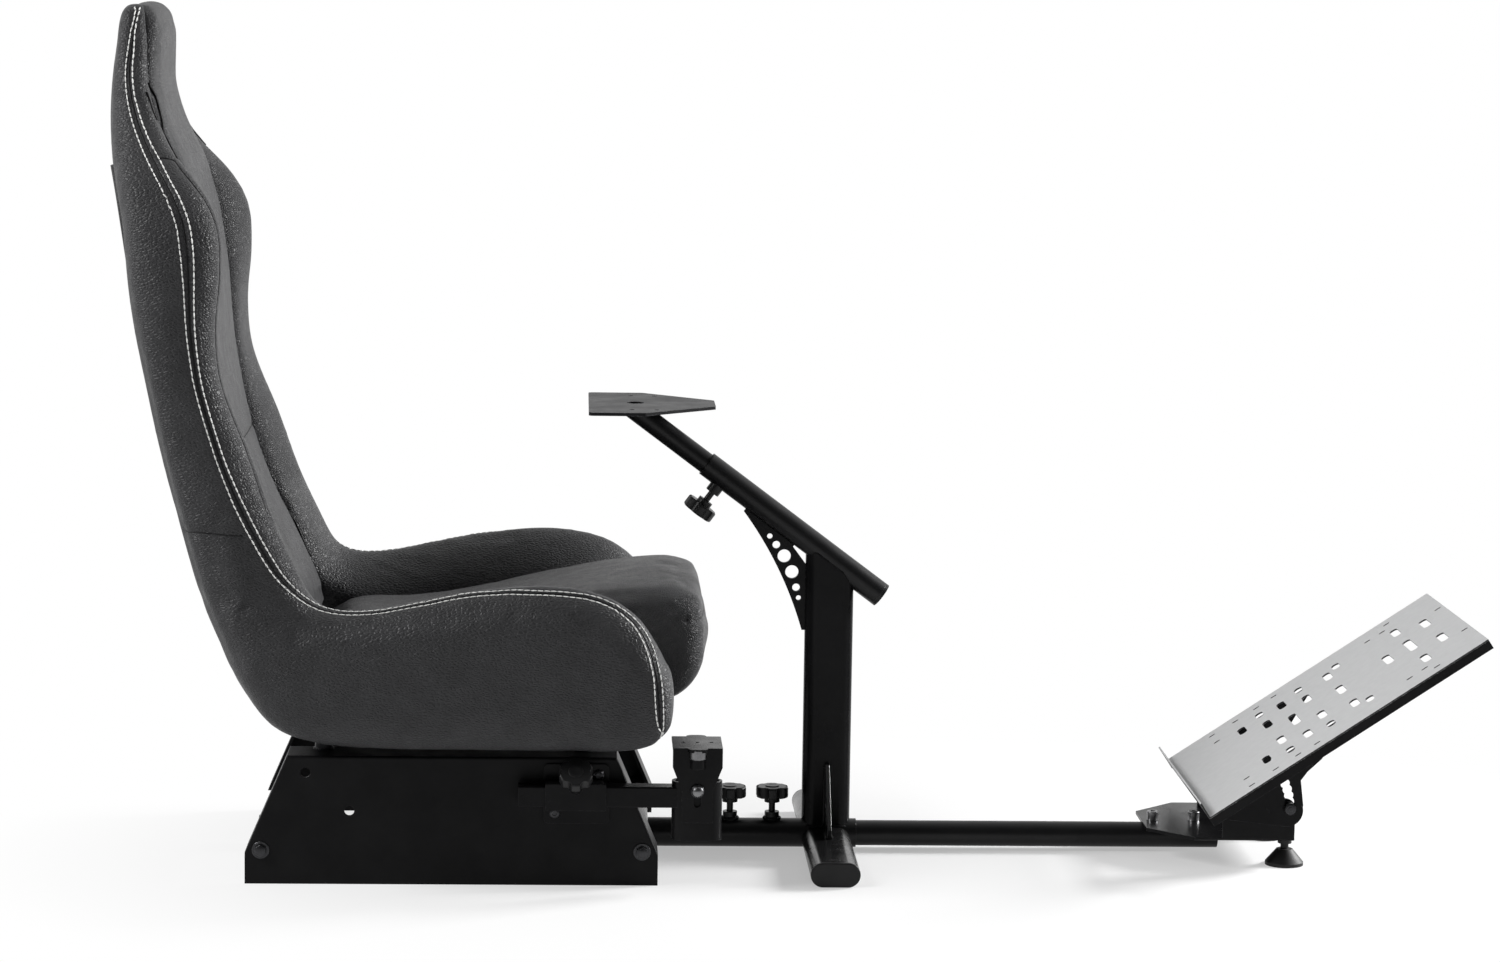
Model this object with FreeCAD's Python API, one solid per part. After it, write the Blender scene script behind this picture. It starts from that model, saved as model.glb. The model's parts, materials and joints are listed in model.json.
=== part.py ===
import FreeCAD, Part
import math
import os

# Racing-simulator seat rig. Millimetres, +X towards the pedals, +Y to the driver's left, +Z up.
# The origin is on the floor, under the middle of the T-foot that carries the post.

Vector = FreeCAD.Vector
Rotation = FreeCAD.Rotation
Placement = FreeCAD.Placement
X_AXIS = Vector(1, 0, 0)
Y_AXIS = Vector(0, 1, 0)
Z_AXIS = Vector(0, 0, 1)

# Floor rail and telescoping pedal tube
rail_outer_diameter = 36.0
rail_wall = 1.8
slide_clearance = 0.4
rail_axis_height = 20.0
rail_rear_x = -700.0
rail_front_x = 38.0
pedal_tube_front_x = 492.0
pedal_tube_length = 790.0
pedal_tube_wall = 2.0
rail_knob_xs = {"rail_knob_rear": -119.4, "rail_knob_front": -66.9}
end_cap_thickness = 4.0
end_cap_plug = 16.0

# Overshoot of every cutter, reach of a test for lying on a face, and the softened edge of small turned heads
cut_margin = 1.0
face_tolerance = 0.01
small_edge_radius = 1.5

# Seat base of two folded side plates
base_centre_x = -459.0
base_half_width = 209.0
base_half_length_bottom = 246.0
base_half_length_top = 196.0
base_corner_height = 38.0
base_height = 155.0
base_sheet = 4.0
base_flange_depth = 60.0
base_bend_radius = 3.0
cross_tube_diameter = 20.0
cross_tube_wall = 2.0
cross_tube_offset = 227.0
cross_tube_height = 41.0
upper_hole_offset = 174.0
upper_hole_height = 135.0
lower_hole_offset = 122.0
lower_hole_height = 89.0
base_hole_diameter = 12.0
base_bolt_hole_diameter = 8.4
seat_stud_offset = 155.0
seat_stud_y = 162.0
seat_stud_diameter = 18.0

# Flat oval section shared by the T-foot, the post and the shifter holder
oval_length = 60.0
oval_width = 30.0
oval_wall = 2.0
foot_half_length = 212.0
foot_cap_thickness = 4.0

# Inclined column with its sliding inner tube
column_angle = math.radians(36.6)
column_outer_diameter = 31.0
column_inner_diameter = 26.4
column_wall = 1.9
column_upper_x = -154.2
column_upper_z = 483.3
column_length = 269.0
column_slider_inside = 150.0
column_knob_from_end = 27.0
post_uncut_height = 420.0

# Wheel plate
wheel_plate_top_z = 558.0
wheel_plate_thickness = 4.0
wheel_plate_rear_x = -300.5
wheel_plate_shoulder_x = -233.0
wheel_plate_front_x = -145.0
wheel_plate_half_width = 114.0
wheel_plate_front_half_width = 33.0
wheel_plate_corner_radius = 6.0
wheel_hole_diameter = 6.6
wheel_hole_spacing_x = 30.0
wheel_hole_spacing_y = 155.0
wheel_hole_centre_x = -233.0
wheel_centre_hole_diameter = 22.0
wheel_centre_hole_x = -243.0
wheel_slot_length = 14.0
wheel_slot_width = 5.0
wheel_rear_slot_inset = 12.5
wheel_rear_slot_spacing = 72.0
wheel_front_slot_set_forward = 16.0
wheel_front_slot_offset = 34.0

# Gussets
gusset_thickness = 5.0
foot_gusset_height = 81.0
foot_gusset_depth = 72.0
foot_gusset_toe = 12.0
foot_gusset_hole_diameters = (9.0, 14.0, 10.0)
foot_gusset_first_hole = (24.2, 44.2)
foot_gusset_hole_run = (11.0, 13.0)
# Web under the inclined tube, X and Z: its hollow edge, its open corner and its holes with their radii
web_arc = ((-107.5, 424.7), (-57.5, 340.0), (-33.8, 276.7))
web_open_corner = ((-22.0, 349.0), (-46.0, 381.0))
web_bite = 12.0
web_holes = ((-74.9, 393.8, 3.4), (-66.7, 383.2, 4.75), (-56.7, 369.2, 8.2), (-46.9, 349.5, 8.2),
             (-41.4, 330.0, 4.75), (-38.3, 317.0, 3.1))

# Lobed clamp knobs
knob_diameter = 41.0
knob_height = 14.0
knob_lobes = 6
knob_scallop_radius = 7.0
knob_scallop_set_out = 3.15
knob_rim_radius = 2.5
knob_hub_diameter = 19.0
knob_hub_height = 6.0
stem_diameter = 8.0
stem_clearance = 0.3
boss_diameter = 18.0
boss_height = 9.0
knob_stand_off = 24.0

# Pedal bracket and levelling feet
bracket_sheet = 4.0
bracket_rear_x = 397.0
bracket_shoulder_x = 450.0
bracket_wall_rear_x = 483.0
bracket_front_x = 572.0
bracket_half_width = 103.0
bracket_rear_half_width = 49.5
bracket_wall_height = 53.0
bracket_wall_corner = 12.0
tube_seat_depth = 0.8
levelling_foot_x = 565.0
levelling_foot_y = 76.0
levelling_foot_diameter = 47.0
levelling_foot_height = 20.0
levelling_rim_height = 4.0
levelling_nut_height = 8.0
levelling_stem_diameter = 10.0
levelling_nut_diameter = 17.0
levelling_stem_rise = 14.0

# Tilting pedal deck, set by its lower edge and its slope
deck_lower_x = 453.5
deck_lower_z = 79.4
deck_angle = math.radians(33.7)
deck_length = 399.5
deck_half_width = 176.0
deck_sheet = 2.0
deck_lip_height = 20.0
deck_flange_depth = 13.0
deck_rim_sheet = 2.0
pivot_x = 488.0
pivot_z = 78.0
tilt_slot_radius = 75.5
tilt_travel = math.radians(24.0)
tilt_notches = 5
tilt_notch_radius = 6.0
rod_diameter = 8.0
rod_clearance = 0.3
rod_head_diameter = 15.0
rod_head_height = 6.0
cheek_gap = 5.5
cheek_sheet = 4.0
cheek_lobe_radius = 20.0
pivot_lobe_radius = 15.0
cheek_rear_along = 26.0
cheek_front_along = 222.0
cheek_front_drop = (14.0, 18.0)
cheek_hollow = ((601.0, 140.0), (584.0, 124.0), (576.0, 113.0))
cheek_nose_set_back = 3.5
cheek_nose_set_down = 3.0
cheek_nose_rise = 6.0

# Shifter clamp, arm, holder and bracket
arm_size = 25.0
arm_wall = 2.0
arm_corner_radius = 2.0
arm_rear_x = -380.0
arm_height = 114.0
sleeve_wall = 3.1
sleeve_clearance = 0.4
sleeve_rear_x = -348.0
sleeve_front_x = -276.0
clamp_plate_thickness = 4.0
clamp_plate_margin = 13.0
clamp_plate_corner = 6.0
clamp_boss_height = 6.0
holder_centre_x = -168.0
holder_bottom_z = 62.0
holder_top_z = 133.0
holder_wall = 3.0
shifter_plate_top_z = 175.0
shifter_plate_sheet = 4.0
shifter_plate_length = 59.0
shifter_plate_depth = 75.0
shifter_plate_low_width = 37.0
shifter_plate_bottom_z = 85.0
shifter_shoulder_z = 152.0
shifter_slot_travel = 16.0
shifter_bolt_z = 124.0
shifter_bolt_head_diameter = 16.0
shifter_bolt_head_height = 5.0
shifter_hole_diameter = 5.2
shifter_hole_spacing = 17.0
shifter_tab_width = 24.0
shifter_tab_length = 9.0
shifter_tab_corner = 8.0

# Bucket seat
seat_bottom_z = 166.0
seat_pan_thickness = 6.0
seat_pan_half_width = 168.0
seat_pan_rear_x = -640.0
seat_pan_front_x = -250.0
rear_board_thickness = 8.0
rear_board_bite = 3.0
rear_board_inset = 42.0
rear_board_corner = 3.0
bolster_corner = 40.0
wing_corner = 34.0
pad_corner = 12.0
pad_overlap = 3.0
pad_rear_inset = 4.0

os.makedirs("parts", exist_ok=True)


def export(name, shape):
    """Write one finished piece to its own file."""
    shape.exportStep("parts/" + name + ".step")


def mirrored(shape):
    """The same piece on the driver's other side."""
    return shape.mirror(Vector(0, 0, 0), Y_AXIS)


def export_pair(name, shape):
    """Write a right-hand piece and its mirror image on the driver's left."""
    export(name + "_right", shape)
    export(name + "_left", mirrored(shape))


def box(x_range, y_range, z_range):
    """Upright box between the given low and high values on each axis."""
    size = [high - low for low, high in (x_range, y_range, z_range)]
    return Part.makeBox(*size, Vector(x_range[0], y_range[0], z_range[0]))


def rod(start, direction, length, diameter):
    """Solid round bar."""
    return Part.makeCylinder(diameter / 2, length, start, direction)


def pipe(start, direction, length, diameter, wall):
    """Round tube with open ends."""
    bar = rod(start, direction, length, diameter)
    return bar.cut(rod(start, direction, length, diameter - 2 * wall))


def side_prism(points, y_low, y_high):
    """Prism of an outline in the side view, given as X and Z pairs, between two Y planes."""
    corners = [Vector(x, y_low, z) for x, z in points]
    wire = Part.makePolygon(corners + corners[:1])
    return Part.Face(wire).extrude(Vector(0, y_high - y_low, 0))


def plan_prism(points, z_low, z_high):
    """Prism of an outline in the plan view, given as X and Y pairs, between two heights."""
    corners = [Vector(x, y, z_low) for x, y in points]
    wire = Part.makePolygon(corners + corners[:1])
    return Part.Face(wire).extrude(Vector(0, 0, z_high - z_low))


def oval_bar(length, width, height):
    """Upright flat-oval bar on the origin, its long side along X."""
    half = (length - width) / 2
    radius = width / 2
    middle = box((-half, half), (-radius, radius), (0, height))
    ends = [Part.makeCylinder(radius, height, Vector(x, 0, 0)) for x in (-half, half)]
    return middle.fuse(ends).removeSplitter()


def oval_tube(height, wall=oval_wall):
    """Upright flat-oval tube of the shared section."""
    bar = oval_bar(oval_length, oval_width, height)
    return bar.cut(oval_bar(oval_length - 2 * wall, oval_width - 2 * wall, height))


def slot_bar(length, width, height):
    """Upright bar that cuts a round-ended slot, its long side along X, centred on the origin."""
    bar = oval_bar(length, width, height)
    bar.translate(Vector(0, 0, -height / 2))
    return bar


def fillet_where(shape, radius, chosen):
    """Round the edges whose midpoint passes the test."""
    edges = [edge for edge in shape.Edges if chosen(edge.CenterOfMass)]
    return shape.makeFillet(radius, edges)


def knob(stem_length):
    """Lobed knob: its stem starts at the origin and runs up Z into the hub and head."""
    hub_bottom = stem_length
    head_bottom = hub_bottom + knob_hub_height
    head = Part.makeCylinder(knob_diameter / 2, knob_height, Vector(0, 0, head_bottom))
    head = head.makeFillet(knob_rim_radius, [edge for edge in head.Edges if len(edge.Vertexes) == 1])
    scallop_circle = knob_diameter / 2 + knob_scallop_set_out
    for index in range(knob_lobes):
        angle = 2 * math.pi * index / knob_lobes
        centre = Vector(scallop_circle * math.cos(angle), scallop_circle * math.sin(angle), head_bottom)
        head = head.cut(Part.makeCylinder(knob_scallop_radius, knob_height, centre))
    hub = Part.makeCylinder(knob_hub_diameter / 2, knob_hub_height, Vector(0, 0, hub_bottom))
    stem = Part.makeCylinder(stem_diameter / 2, hub_bottom + knob_hub_height / 2)
    return head.fuse([hub, stem]).removeSplitter()


def placed(shape, position, direction):
    """Copy of a piece that was modelled up Z, moved to a position and turned along a direction."""
    copy = shape.copy()
    copy.Placement = Placement(position, Rotation(Vector(0, 0, 1), direction))
    return copy


stem_hole_diameter = stem_diameter + 2 * stem_clearance


# Floor rail
def rail_solid(start_x, end_x, diameter):
    """Round bar on the rail's axis."""
    return rod(Vector(start_x, 0, rail_axis_height), X_AXIS, end_x - start_x, diameter)


rail_solid_bar = rail_solid(rail_rear_x, rail_front_x, rail_outer_diameter)
rail_bore_diameter = rail_outer_diameter - 2 * rail_wall
pedal_tube_diameter = rail_bore_diameter - 2 * slide_clearance
rail_top_z = rail_axis_height + rail_outer_diameter / 2


def build_rail():
    """Outer rail tube with a welded clamp boss under each knob."""
    tube = rail_solid_bar
    boss_reach = rail_top_z - rail_axis_height + boss_height
    for x in rail_knob_xs.values():
        tube = tube.fuse(rod(Vector(x, 0, rail_axis_height), Z_AXIS, boss_reach, boss_diameter))
    tube = tube.cut(rail_solid(rail_rear_x, rail_front_x, rail_bore_diameter))
    for x in rail_knob_xs.values():
        start = Vector(x, 0, rail_axis_height)
        tube = tube.cut(rod(start, Z_AXIS, boss_reach + cut_margin, stem_hole_diameter))
    export("floor_rail", tube.removeSplitter())
    plug = rail_solid(rail_rear_x, rail_rear_x + end_cap_plug, rail_bore_diameter)
    lid = rail_solid(rail_rear_x - end_cap_thickness, rail_rear_x, rail_outer_diameter)
    export("rail_end_cap", plug.fuse(lid).removeSplitter())


def build_rail_knobs():
    """Two knobs whose stems stop just above the sliding tube."""
    stem_bottom = rail_axis_height + pedal_tube_diameter / 2 + stem_clearance
    stem_length = rail_top_z + knob_stand_off - knob_hub_height / 2 - stem_bottom
    for name, x in rail_knob_xs.items():
        export(name, placed(knob(stem_length), Vector(x, 0, stem_bottom), Z_AXIS))


# Seat base
def base_outline(sheet=0.0, skirt=0.0):
    """Side outline of a base plate, drawn in by the sheet along its top and slanted edges."""
    slope_run = base_half_length_bottom - base_half_length_top
    slope_rise = base_height - base_corner_height
    slope_length = math.hypot(slope_run, slope_rise)
    shift = sheet * slope_length / slope_rise
    top = base_height - sheet
    top_half = base_half_length_top + slope_run * (base_height - top) / slope_rise - shift
    low_half = base_half_length_bottom - shift + slope_run * skirt / slope_rise
    low_z = base_corner_height - skirt
    half = [(top_half, top), (low_half, low_z)]
    if sheet == 0.0:
        half.append((base_half_length_bottom, 0.0))
    right = [(base_centre_x + x, z) for x, z in half]
    left = [(base_centre_x - x, z) for x, z in reversed(half)]
    return right + left


def build_base():
    """Two folded side plates, each with its holes and two welded seat studs."""
    outer_y = -base_half_width
    inner_y = outer_y + base_flange_depth
    plate = side_prism(base_outline(), outer_y, inner_y)
    pocket_outline = base_outline(base_sheet, base_corner_height + base_sheet)
    pocket = side_prism(pocket_outline, outer_y + base_sheet, inner_y)
    plate = plate.cut(pocket)
    low_reach = base_half_length_bottom + cut_margin
    low_cut = box((base_centre_x - low_reach, base_centre_x + low_reach), (outer_y + base_sheet, inner_y),
                  (-cut_margin, base_corner_height))
    plate = plate.cut(low_cut)
    plate = fillet_where(plate, base_bend_radius,
                         lambda p: abs(p.y - outer_y) < face_tolerance and p.z > base_corner_height)
    holes = [(sign * upper_hole_offset, upper_hole_height, base_hole_diameter) for sign in (-1, 1)]
    holes += [(sign * lower_hole_offset, lower_hole_height, base_hole_diameter) for sign in (-1, 1)]
    holes += [(sign * cross_tube_offset, cross_tube_height, base_bolt_hole_diameter) for sign in (-1, 1)]
    for x, z, diameter in holes:
        start = Vector(base_centre_x + x, outer_y - cut_margin, z)
        plate = plate.cut(rod(start, Y_AXIS, base_sheet + 2 * cut_margin, diameter))
    for sign in (-1, 1):
        foot = Vector(base_centre_x + sign * seat_stud_offset, -seat_stud_y, base_height - base_sheet / 2)
        stud_height = seat_bottom_z - base_height + base_sheet / 2
        plate = plate.fuse(rod(foot, Z_AXIS, stud_height, seat_stud_diameter))
    export_pair("base_plate", plate.removeSplitter())
    half_span = base_half_width - base_sheet
    for name, sign in (("base_cross_tube_rear", -1), ("base_cross_tube_front", 1)):
        start = Vector(base_centre_x + sign * cross_tube_offset, -half_span, cross_tube_height)
        tube = pipe(start, Y_AXIS, 2 * half_span, cross_tube_diameter, cross_tube_wall)
        export(name, tube.cut(rail_solid_bar))


# Wheel stand
column_direction = Vector(-math.cos(column_angle), 0, math.sin(column_angle))
column_down = Vector(-math.sin(column_angle), 0, -math.cos(column_angle))
column_top = Vector(column_upper_x, 0, column_upper_z)
column_bottom = column_top - column_direction * column_length
column_bar = rod(column_bottom, column_direction, column_length, column_outer_diameter)
post_bar = oval_bar(oval_length, oval_width, post_uncut_height)


def build_foot():
    """T-foot in one length, let in over the rail, with a cap on each end."""
    lie_down = Rotation(X_AXIS, -90)
    foot = oval_tube(2 * foot_half_length)
    foot.Placement = Placement(Vector(0, -foot_half_length, oval_width / 2), lie_down)
    export("t_foot", foot.cut(rail_solid_bar))
    cap = oval_bar(oval_length, oval_width, foot_cap_thickness)
    cap = fillet_where(cap, small_edge_radius, lambda p: p.z < face_tolerance)
    plug = oval_bar(oval_length - 2 * oval_wall, oval_width - 2 * oval_wall, end_cap_plug)
    cap = cap.fuse(plug).removeSplitter()
    cap.Placement = Placement(Vector(0, -foot_half_length - foot_cap_thickness, oval_width / 2), lie_down)
    export_pair("foot_cap", cap)


def build_post():
    """Upright post, coped over the rail below and under the inclined tube above."""
    post = oval_tube(post_uncut_height - oval_width)
    post.translate(Vector(0, 0, oval_width))
    corner = Vector(-column_length, -oval_width, 0)
    over_column = Part.makeBox(2 * column_length, 2 * oval_width, column_length, corner)
    over_column = placed(over_column, column_bottom, column_down * -1)
    post = post.cut(over_column)
    export("post", post.cut(rail_solid_bar).cut(column_bar))


def build_foot_gusset():
    """Triangular rib between post and foot, with a row of three lightening holes."""
    half = gusset_thickness / 2
    post_y = -oval_width / 2
    low_z = oval_width
    toe_y = post_y - foot_gusset_depth
    corners = [(post_y, low_z), (toe_y, low_z), (toe_y, low_z + foot_gusset_toe),
               (post_y - foot_gusset_toe, low_z + foot_gusset_height), (post_y, low_z + foot_gusset_height)]
    points = [Vector(-half, y, z) for y, z in corners]
    rib = Part.Face(Part.makePolygon(points + points[:1])).extrude(Vector(gusset_thickness, 0, 0))
    first_out, first_up = foot_gusset_first_hole
    step_out, step_down = foot_gusset_hole_run
    for index, diameter in enumerate(foot_gusset_hole_diameters):
        y = post_y - first_out - index * step_out
        z = low_z + first_up - index * step_down
        start = Vector(-half - cut_margin, y, z)
        rib = rib.cut(rod(start, X_AXIS, gusset_thickness + 2 * cut_margin, diameter))
    export_pair("foot_gusset", rib)


def build_post_gusset():
    """Curved web between the inclined tube and the post, with six graded holes and an open corner."""
    half = gusset_thickness / 2
    tube_tip, arc_middle, post_tip = [Vector(x, -half, z) for x, z in web_arc]
    corner_low, corner_high = [Vector(x, -half, z) for x, z in web_open_corner]
    post_inside = post_tip + X_AXIS * web_bite
    tube_inside = tube_tip - column_down * web_bite
    edges = [Part.Arc(tube_tip, arc_middle, post_tip).toShape()]
    corner_inside = corner_high - column_down * web_bite
    turns = [post_tip, post_inside, corner_low, corner_high, corner_inside, tube_inside, tube_tip]
    edges += [Part.makeLine(first, last) for first, last in zip(turns, turns[1:])]
    web = Part.Face(Part.Wire(edges)).extrude(Vector(0, gusset_thickness, 0))
    for x, z, radius in web_holes:
        start = Vector(x, -half - cut_margin, z)
        web = web.cut(rod(start, Y_AXIS, gusset_thickness + 2 * cut_margin, 2 * radius))
    export("post_gusset", web.cut(column_bar).cut(post_bar))


column_bore = column_inner_diameter + 2 * slide_clearance
column_knob_foot = column_top - column_direction * column_knob_from_end


def build_column():
    """Inclined outer tube with its clamp boss and a lower end cap."""
    boss_reach = column_outer_diameter / 2 + boss_height
    tube = column_bar.fuse(rod(column_knob_foot, column_down, boss_reach, boss_diameter))
    tube = tube.cut(rod(column_bottom, column_direction, column_length, column_bore))
    tube = tube.cut(rod(column_knob_foot, column_down, boss_reach + cut_margin, stem_hole_diameter))
    export("column_tube", tube.removeSplitter())
    lid = rod(column_bottom - column_direction * end_cap_thickness, column_direction, end_cap_thickness,
              column_outer_diameter)
    plug = rod(column_bottom, column_direction, end_cap_plug, column_bore)
    export("column_end_cap", lid.fuse(plug).removeSplitter())
    stem_start = column_inner_diameter / 2 + stem_clearance
    stem_length = column_outer_diameter / 2 + knob_stand_off - knob_hub_height / 2 - stem_start
    export("column_knob", placed(knob(stem_length), column_knob_foot + column_down * stem_start, column_down))


def build_wheel_mount():
    """Sliding inner tube cut level under the wheel plate, and the plate with its hole pattern."""
    start = column_top - column_direction * column_slider_inside
    plate_bottom = wheel_plate_top_z - wheel_plate_thickness
    rise = plate_bottom - start.z + column_inner_diameter
    length = rise / math.sin(column_angle)
    tube = pipe(start, column_direction, length, column_inner_diameter, column_wall)
    above = box((start.x - 2 * length, start.x), (-column_inner_diameter, column_inner_diameter),
                (plate_bottom, plate_bottom + rise))
    tube = tube.cut(above)
    export("column_slider", tube)
    right = [(wheel_plate_front_x, -wheel_plate_front_half_width),
             (wheel_plate_shoulder_x, -wheel_plate_half_width), (wheel_plate_rear_x, -wheel_plate_half_width)]
    left = [(x, -y) for x, y in reversed(right)]
    plate = plan_prism(right + left, plate_bottom, wheel_plate_top_z)
    upright = [edge for edge in plate.Edges if abs(edge.tangentAt(0).z) > 0.9]
    plate = plate.makeFillet(wheel_plate_corner_radius, upright)
    cut_depth = wheel_plate_thickness + 2 * cut_margin
    for x_sign in (-1, 1):
        for y_sign in (-1, 1):
            centre = Vector(wheel_hole_centre_x + x_sign * wheel_hole_spacing_x / 2,
                            y_sign * wheel_hole_spacing_y / 2, plate_bottom - cut_margin)
            plate = plate.cut(rod(centre, Z_AXIS, cut_depth, wheel_hole_diameter))
    centre = Vector(wheel_centre_hole_x, 0, plate_bottom - cut_margin)
    plate = plate.cut(rod(centre, Z_AXIS, cut_depth, wheel_centre_hole_diameter))
    slot = slot_bar(wheel_slot_length, wheel_slot_width, 3 * wheel_plate_thickness)
    rear_x = wheel_plate_rear_x + wheel_rear_slot_inset
    rear_row = [(rear_x, step * wheel_rear_slot_spacing) for step in (-1, 0, 1)]
    front_x = wheel_hole_centre_x + wheel_front_slot_set_forward
    front_row = [(front_x, sign * wheel_front_slot_offset) for sign in (-1, 1)]
    for x, y in rear_row + front_row:
        cutter = slot.copy()
        cutter.Placement = Placement(Vector(x, y, wheel_plate_top_z), Rotation(Z_AXIS, 90))
        plate = plate.cut(cutter)
    export("wheel_plate", plate)


# Pedal unit
tube_top_z = rail_axis_height + pedal_tube_diameter / 2
bracket_bottom_z = tube_top_z - tube_seat_depth
bracket_top_z = bracket_bottom_z + bracket_sheet
pedal_tube_bar = rail_solid(pedal_tube_front_x - pedal_tube_length, pedal_tube_front_x, pedal_tube_diameter)


def build_pedal_carrier():
    """Sliding tube, the bracket folded up at both sides and two levelling feet."""
    bore = rail_solid(pedal_tube_front_x - pedal_tube_length, pedal_tube_front_x,
                      pedal_tube_diameter - 2 * pedal_tube_wall)
    export("pedal_tube", pedal_tube_bar.cut(bore))
    right = [(bracket_front_x, -bracket_half_width), (bracket_shoulder_x, -bracket_half_width),
             (bracket_rear_x, -bracket_rear_half_width)]
    left = [(x, -y) for x, y in reversed(right)]
    bracket = plan_prism(right + left, bracket_bottom_z, bracket_top_z)
    for sign in (-1, 1):
        outer = sign * bracket_half_width
        inner = sign * (bracket_half_width - bracket_sheet)
        wall = box((bracket_wall_rear_x, bracket_front_x), (min(outer, inner), max(outer, inner)),
                   (bracket_bottom_z, bracket_bottom_z + bracket_wall_height))
        top = bracket_bottom_z + bracket_wall_height
        wall = fillet_where(wall, bracket_wall_corner,
                            lambda p: abs(p.z - top) < face_tolerance
                            and abs(p.y - (outer + inner) / 2) < face_tolerance)
        bracket = bracket.fuse(wall)
    bracket = bracket.removeSplitter()
    bracket = fillet_where(bracket, base_bend_radius,
                           lambda p: abs(abs(p.y) - bracket_half_width) < face_tolerance
                           and abs(p.z - bracket_bottom_z) < face_tolerance)
    bracket = bracket.cut(pedal_tube_bar)
    for x, z in ((pivot_x, pivot_z), (pivot_x + tilt_slot_radius, pivot_z)):
        start = Vector(x, -bracket_half_width - cut_margin, z)
        bracket = bracket.cut(rod(start, Y_AXIS, 2 * (bracket_half_width + cut_margin), rod_diameter))
    for sign in (-1, 1):
        centre = Vector(levelling_foot_x, sign * levelling_foot_y, 0)
        bracket = bracket.cut(rod(centre, Z_AXIS, bracket_top_z + cut_margin, levelling_stem_diameter))
    export("pedal_bracket", bracket)
    rim = levelling_foot_diameter / 2
    stem = levelling_stem_diameter / 2
    nut = levelling_nut_diameter / 2
    nut_bottom = bracket_bottom_z - levelling_nut_height
    stem_top = bracket_top_z + levelling_stem_rise
    profile = [(0, 0), (rim, 0), (rim, levelling_rim_height), (2 * stem, levelling_foot_height),
               (stem, levelling_foot_height), (stem, nut_bottom), (nut, nut_bottom), (nut, bracket_bottom_z),
               (stem, bracket_bottom_z), (stem, stem_top), (0, stem_top)]
    points = [Vector(levelling_foot_x + r, -levelling_foot_y, z) for r, z in profile]
    section = Part.Face(Part.makePolygon(points + points[:1]))
    foot = section.revolve(Vector(levelling_foot_x, -levelling_foot_y, 0), Z_AXIS, 360)
    export_pair("levelling_foot", foot)


cheek_inner_y = bracket_half_width + cheek_gap
cheek_outer_y = cheek_inner_y + cheek_sheet


def cross_rod(x):
    """Rod through both bracket walls, with spacer collars inside the cheeks and heads outside them."""
    reach = cheek_outer_y + rod_clearance
    bar = rod(Vector(x, -reach, pivot_z), Y_AXIS, 2 * reach, rod_diameter)
    for sign in (-1, 1):
        outward = Y_AXIS * sign
        collar = rod(Vector(x, sign * bracket_half_width, pivot_z), outward, cheek_gap - rod_clearance,
                     rod_head_diameter)
        head = rod(Vector(x, sign * reach, pivot_z), outward, rod_head_height, rod_head_diameter)
        bar = bar.fuse([collar, head])
    return bar.removeSplitter()


deck_along = Vector(math.cos(deck_angle), 0, math.sin(deck_angle))
deck_normal = Vector(-math.sin(deck_angle), 0, math.cos(deck_angle))
deck_corner = Vector(deck_lower_x, 0, deck_lower_z)


def deck_point(along, across, up=0.0):
    """Place on the deck: distance up the slope, across it, and above its top face."""
    return deck_corner + deck_along * along + deck_normal * up + Y_AXIS * across


def deck_slab(along_range, across_range, up_range):
    """Box aligned with the sloping deck."""
    corners = []
    for along, up in ((0, 0), (1, 0), (1, 1), (0, 1)):
        corners.append(deck_point(along_range[along], across_range[0], up_range[up]))
    face = Part.Face(Part.makePolygon(corners + corners[:1]))
    return face.extrude(Y_AXIS * (across_range[1] - across_range[0]))


# Deck slots: distance up the slope, offset from the centreline and length across the deck
deck_slot_width = 11.0
deck_slots = ((100, 92, 31), (130, 51, 35), (130, 112, 23), (159.5, 93, 33), (159.5, 0, 53), (189, 53, 35),
              (189, 112, 23), (228.5, 0, 41), (228.5, 90, 35), (245.5, 112, 23), (298, 0, 45), (331, 92, 37),
              (331, 0, 59), (365.5, 51, 41))
deck_key_length = 9.0
deck_key_width = 4.0
deck_keys = ((66, 155), (66, 115), (101, 152), (133, 152), (160, 154), (298, 132), (320, 131), (332, 154),
             (391, 78))


def both_sides(offset):
    """A centreline offset, and its mirror image where it is not on the centreline."""
    return (offset,) if offset == 0 else (-offset, offset)


def deck_cutter(along, across, slope_size, cross_size):
    """Slot or key cutter standing square to the deck, round-ended along its longer side."""
    long_size = max(slope_size, cross_size)
    short_size = min(slope_size, cross_size)
    cutter = slot_bar(long_size, short_size, 6 * deck_sheet)
    cutter.rotate(Vector(0, 0, 0), Z_AXIS, 90 if cross_size > slope_size else 0)
    cutter.rotate(Vector(0, 0, 0), Y_AXIS, -math.degrees(deck_angle))
    cutter.translate(deck_point(along, across))
    return cutter


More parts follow.
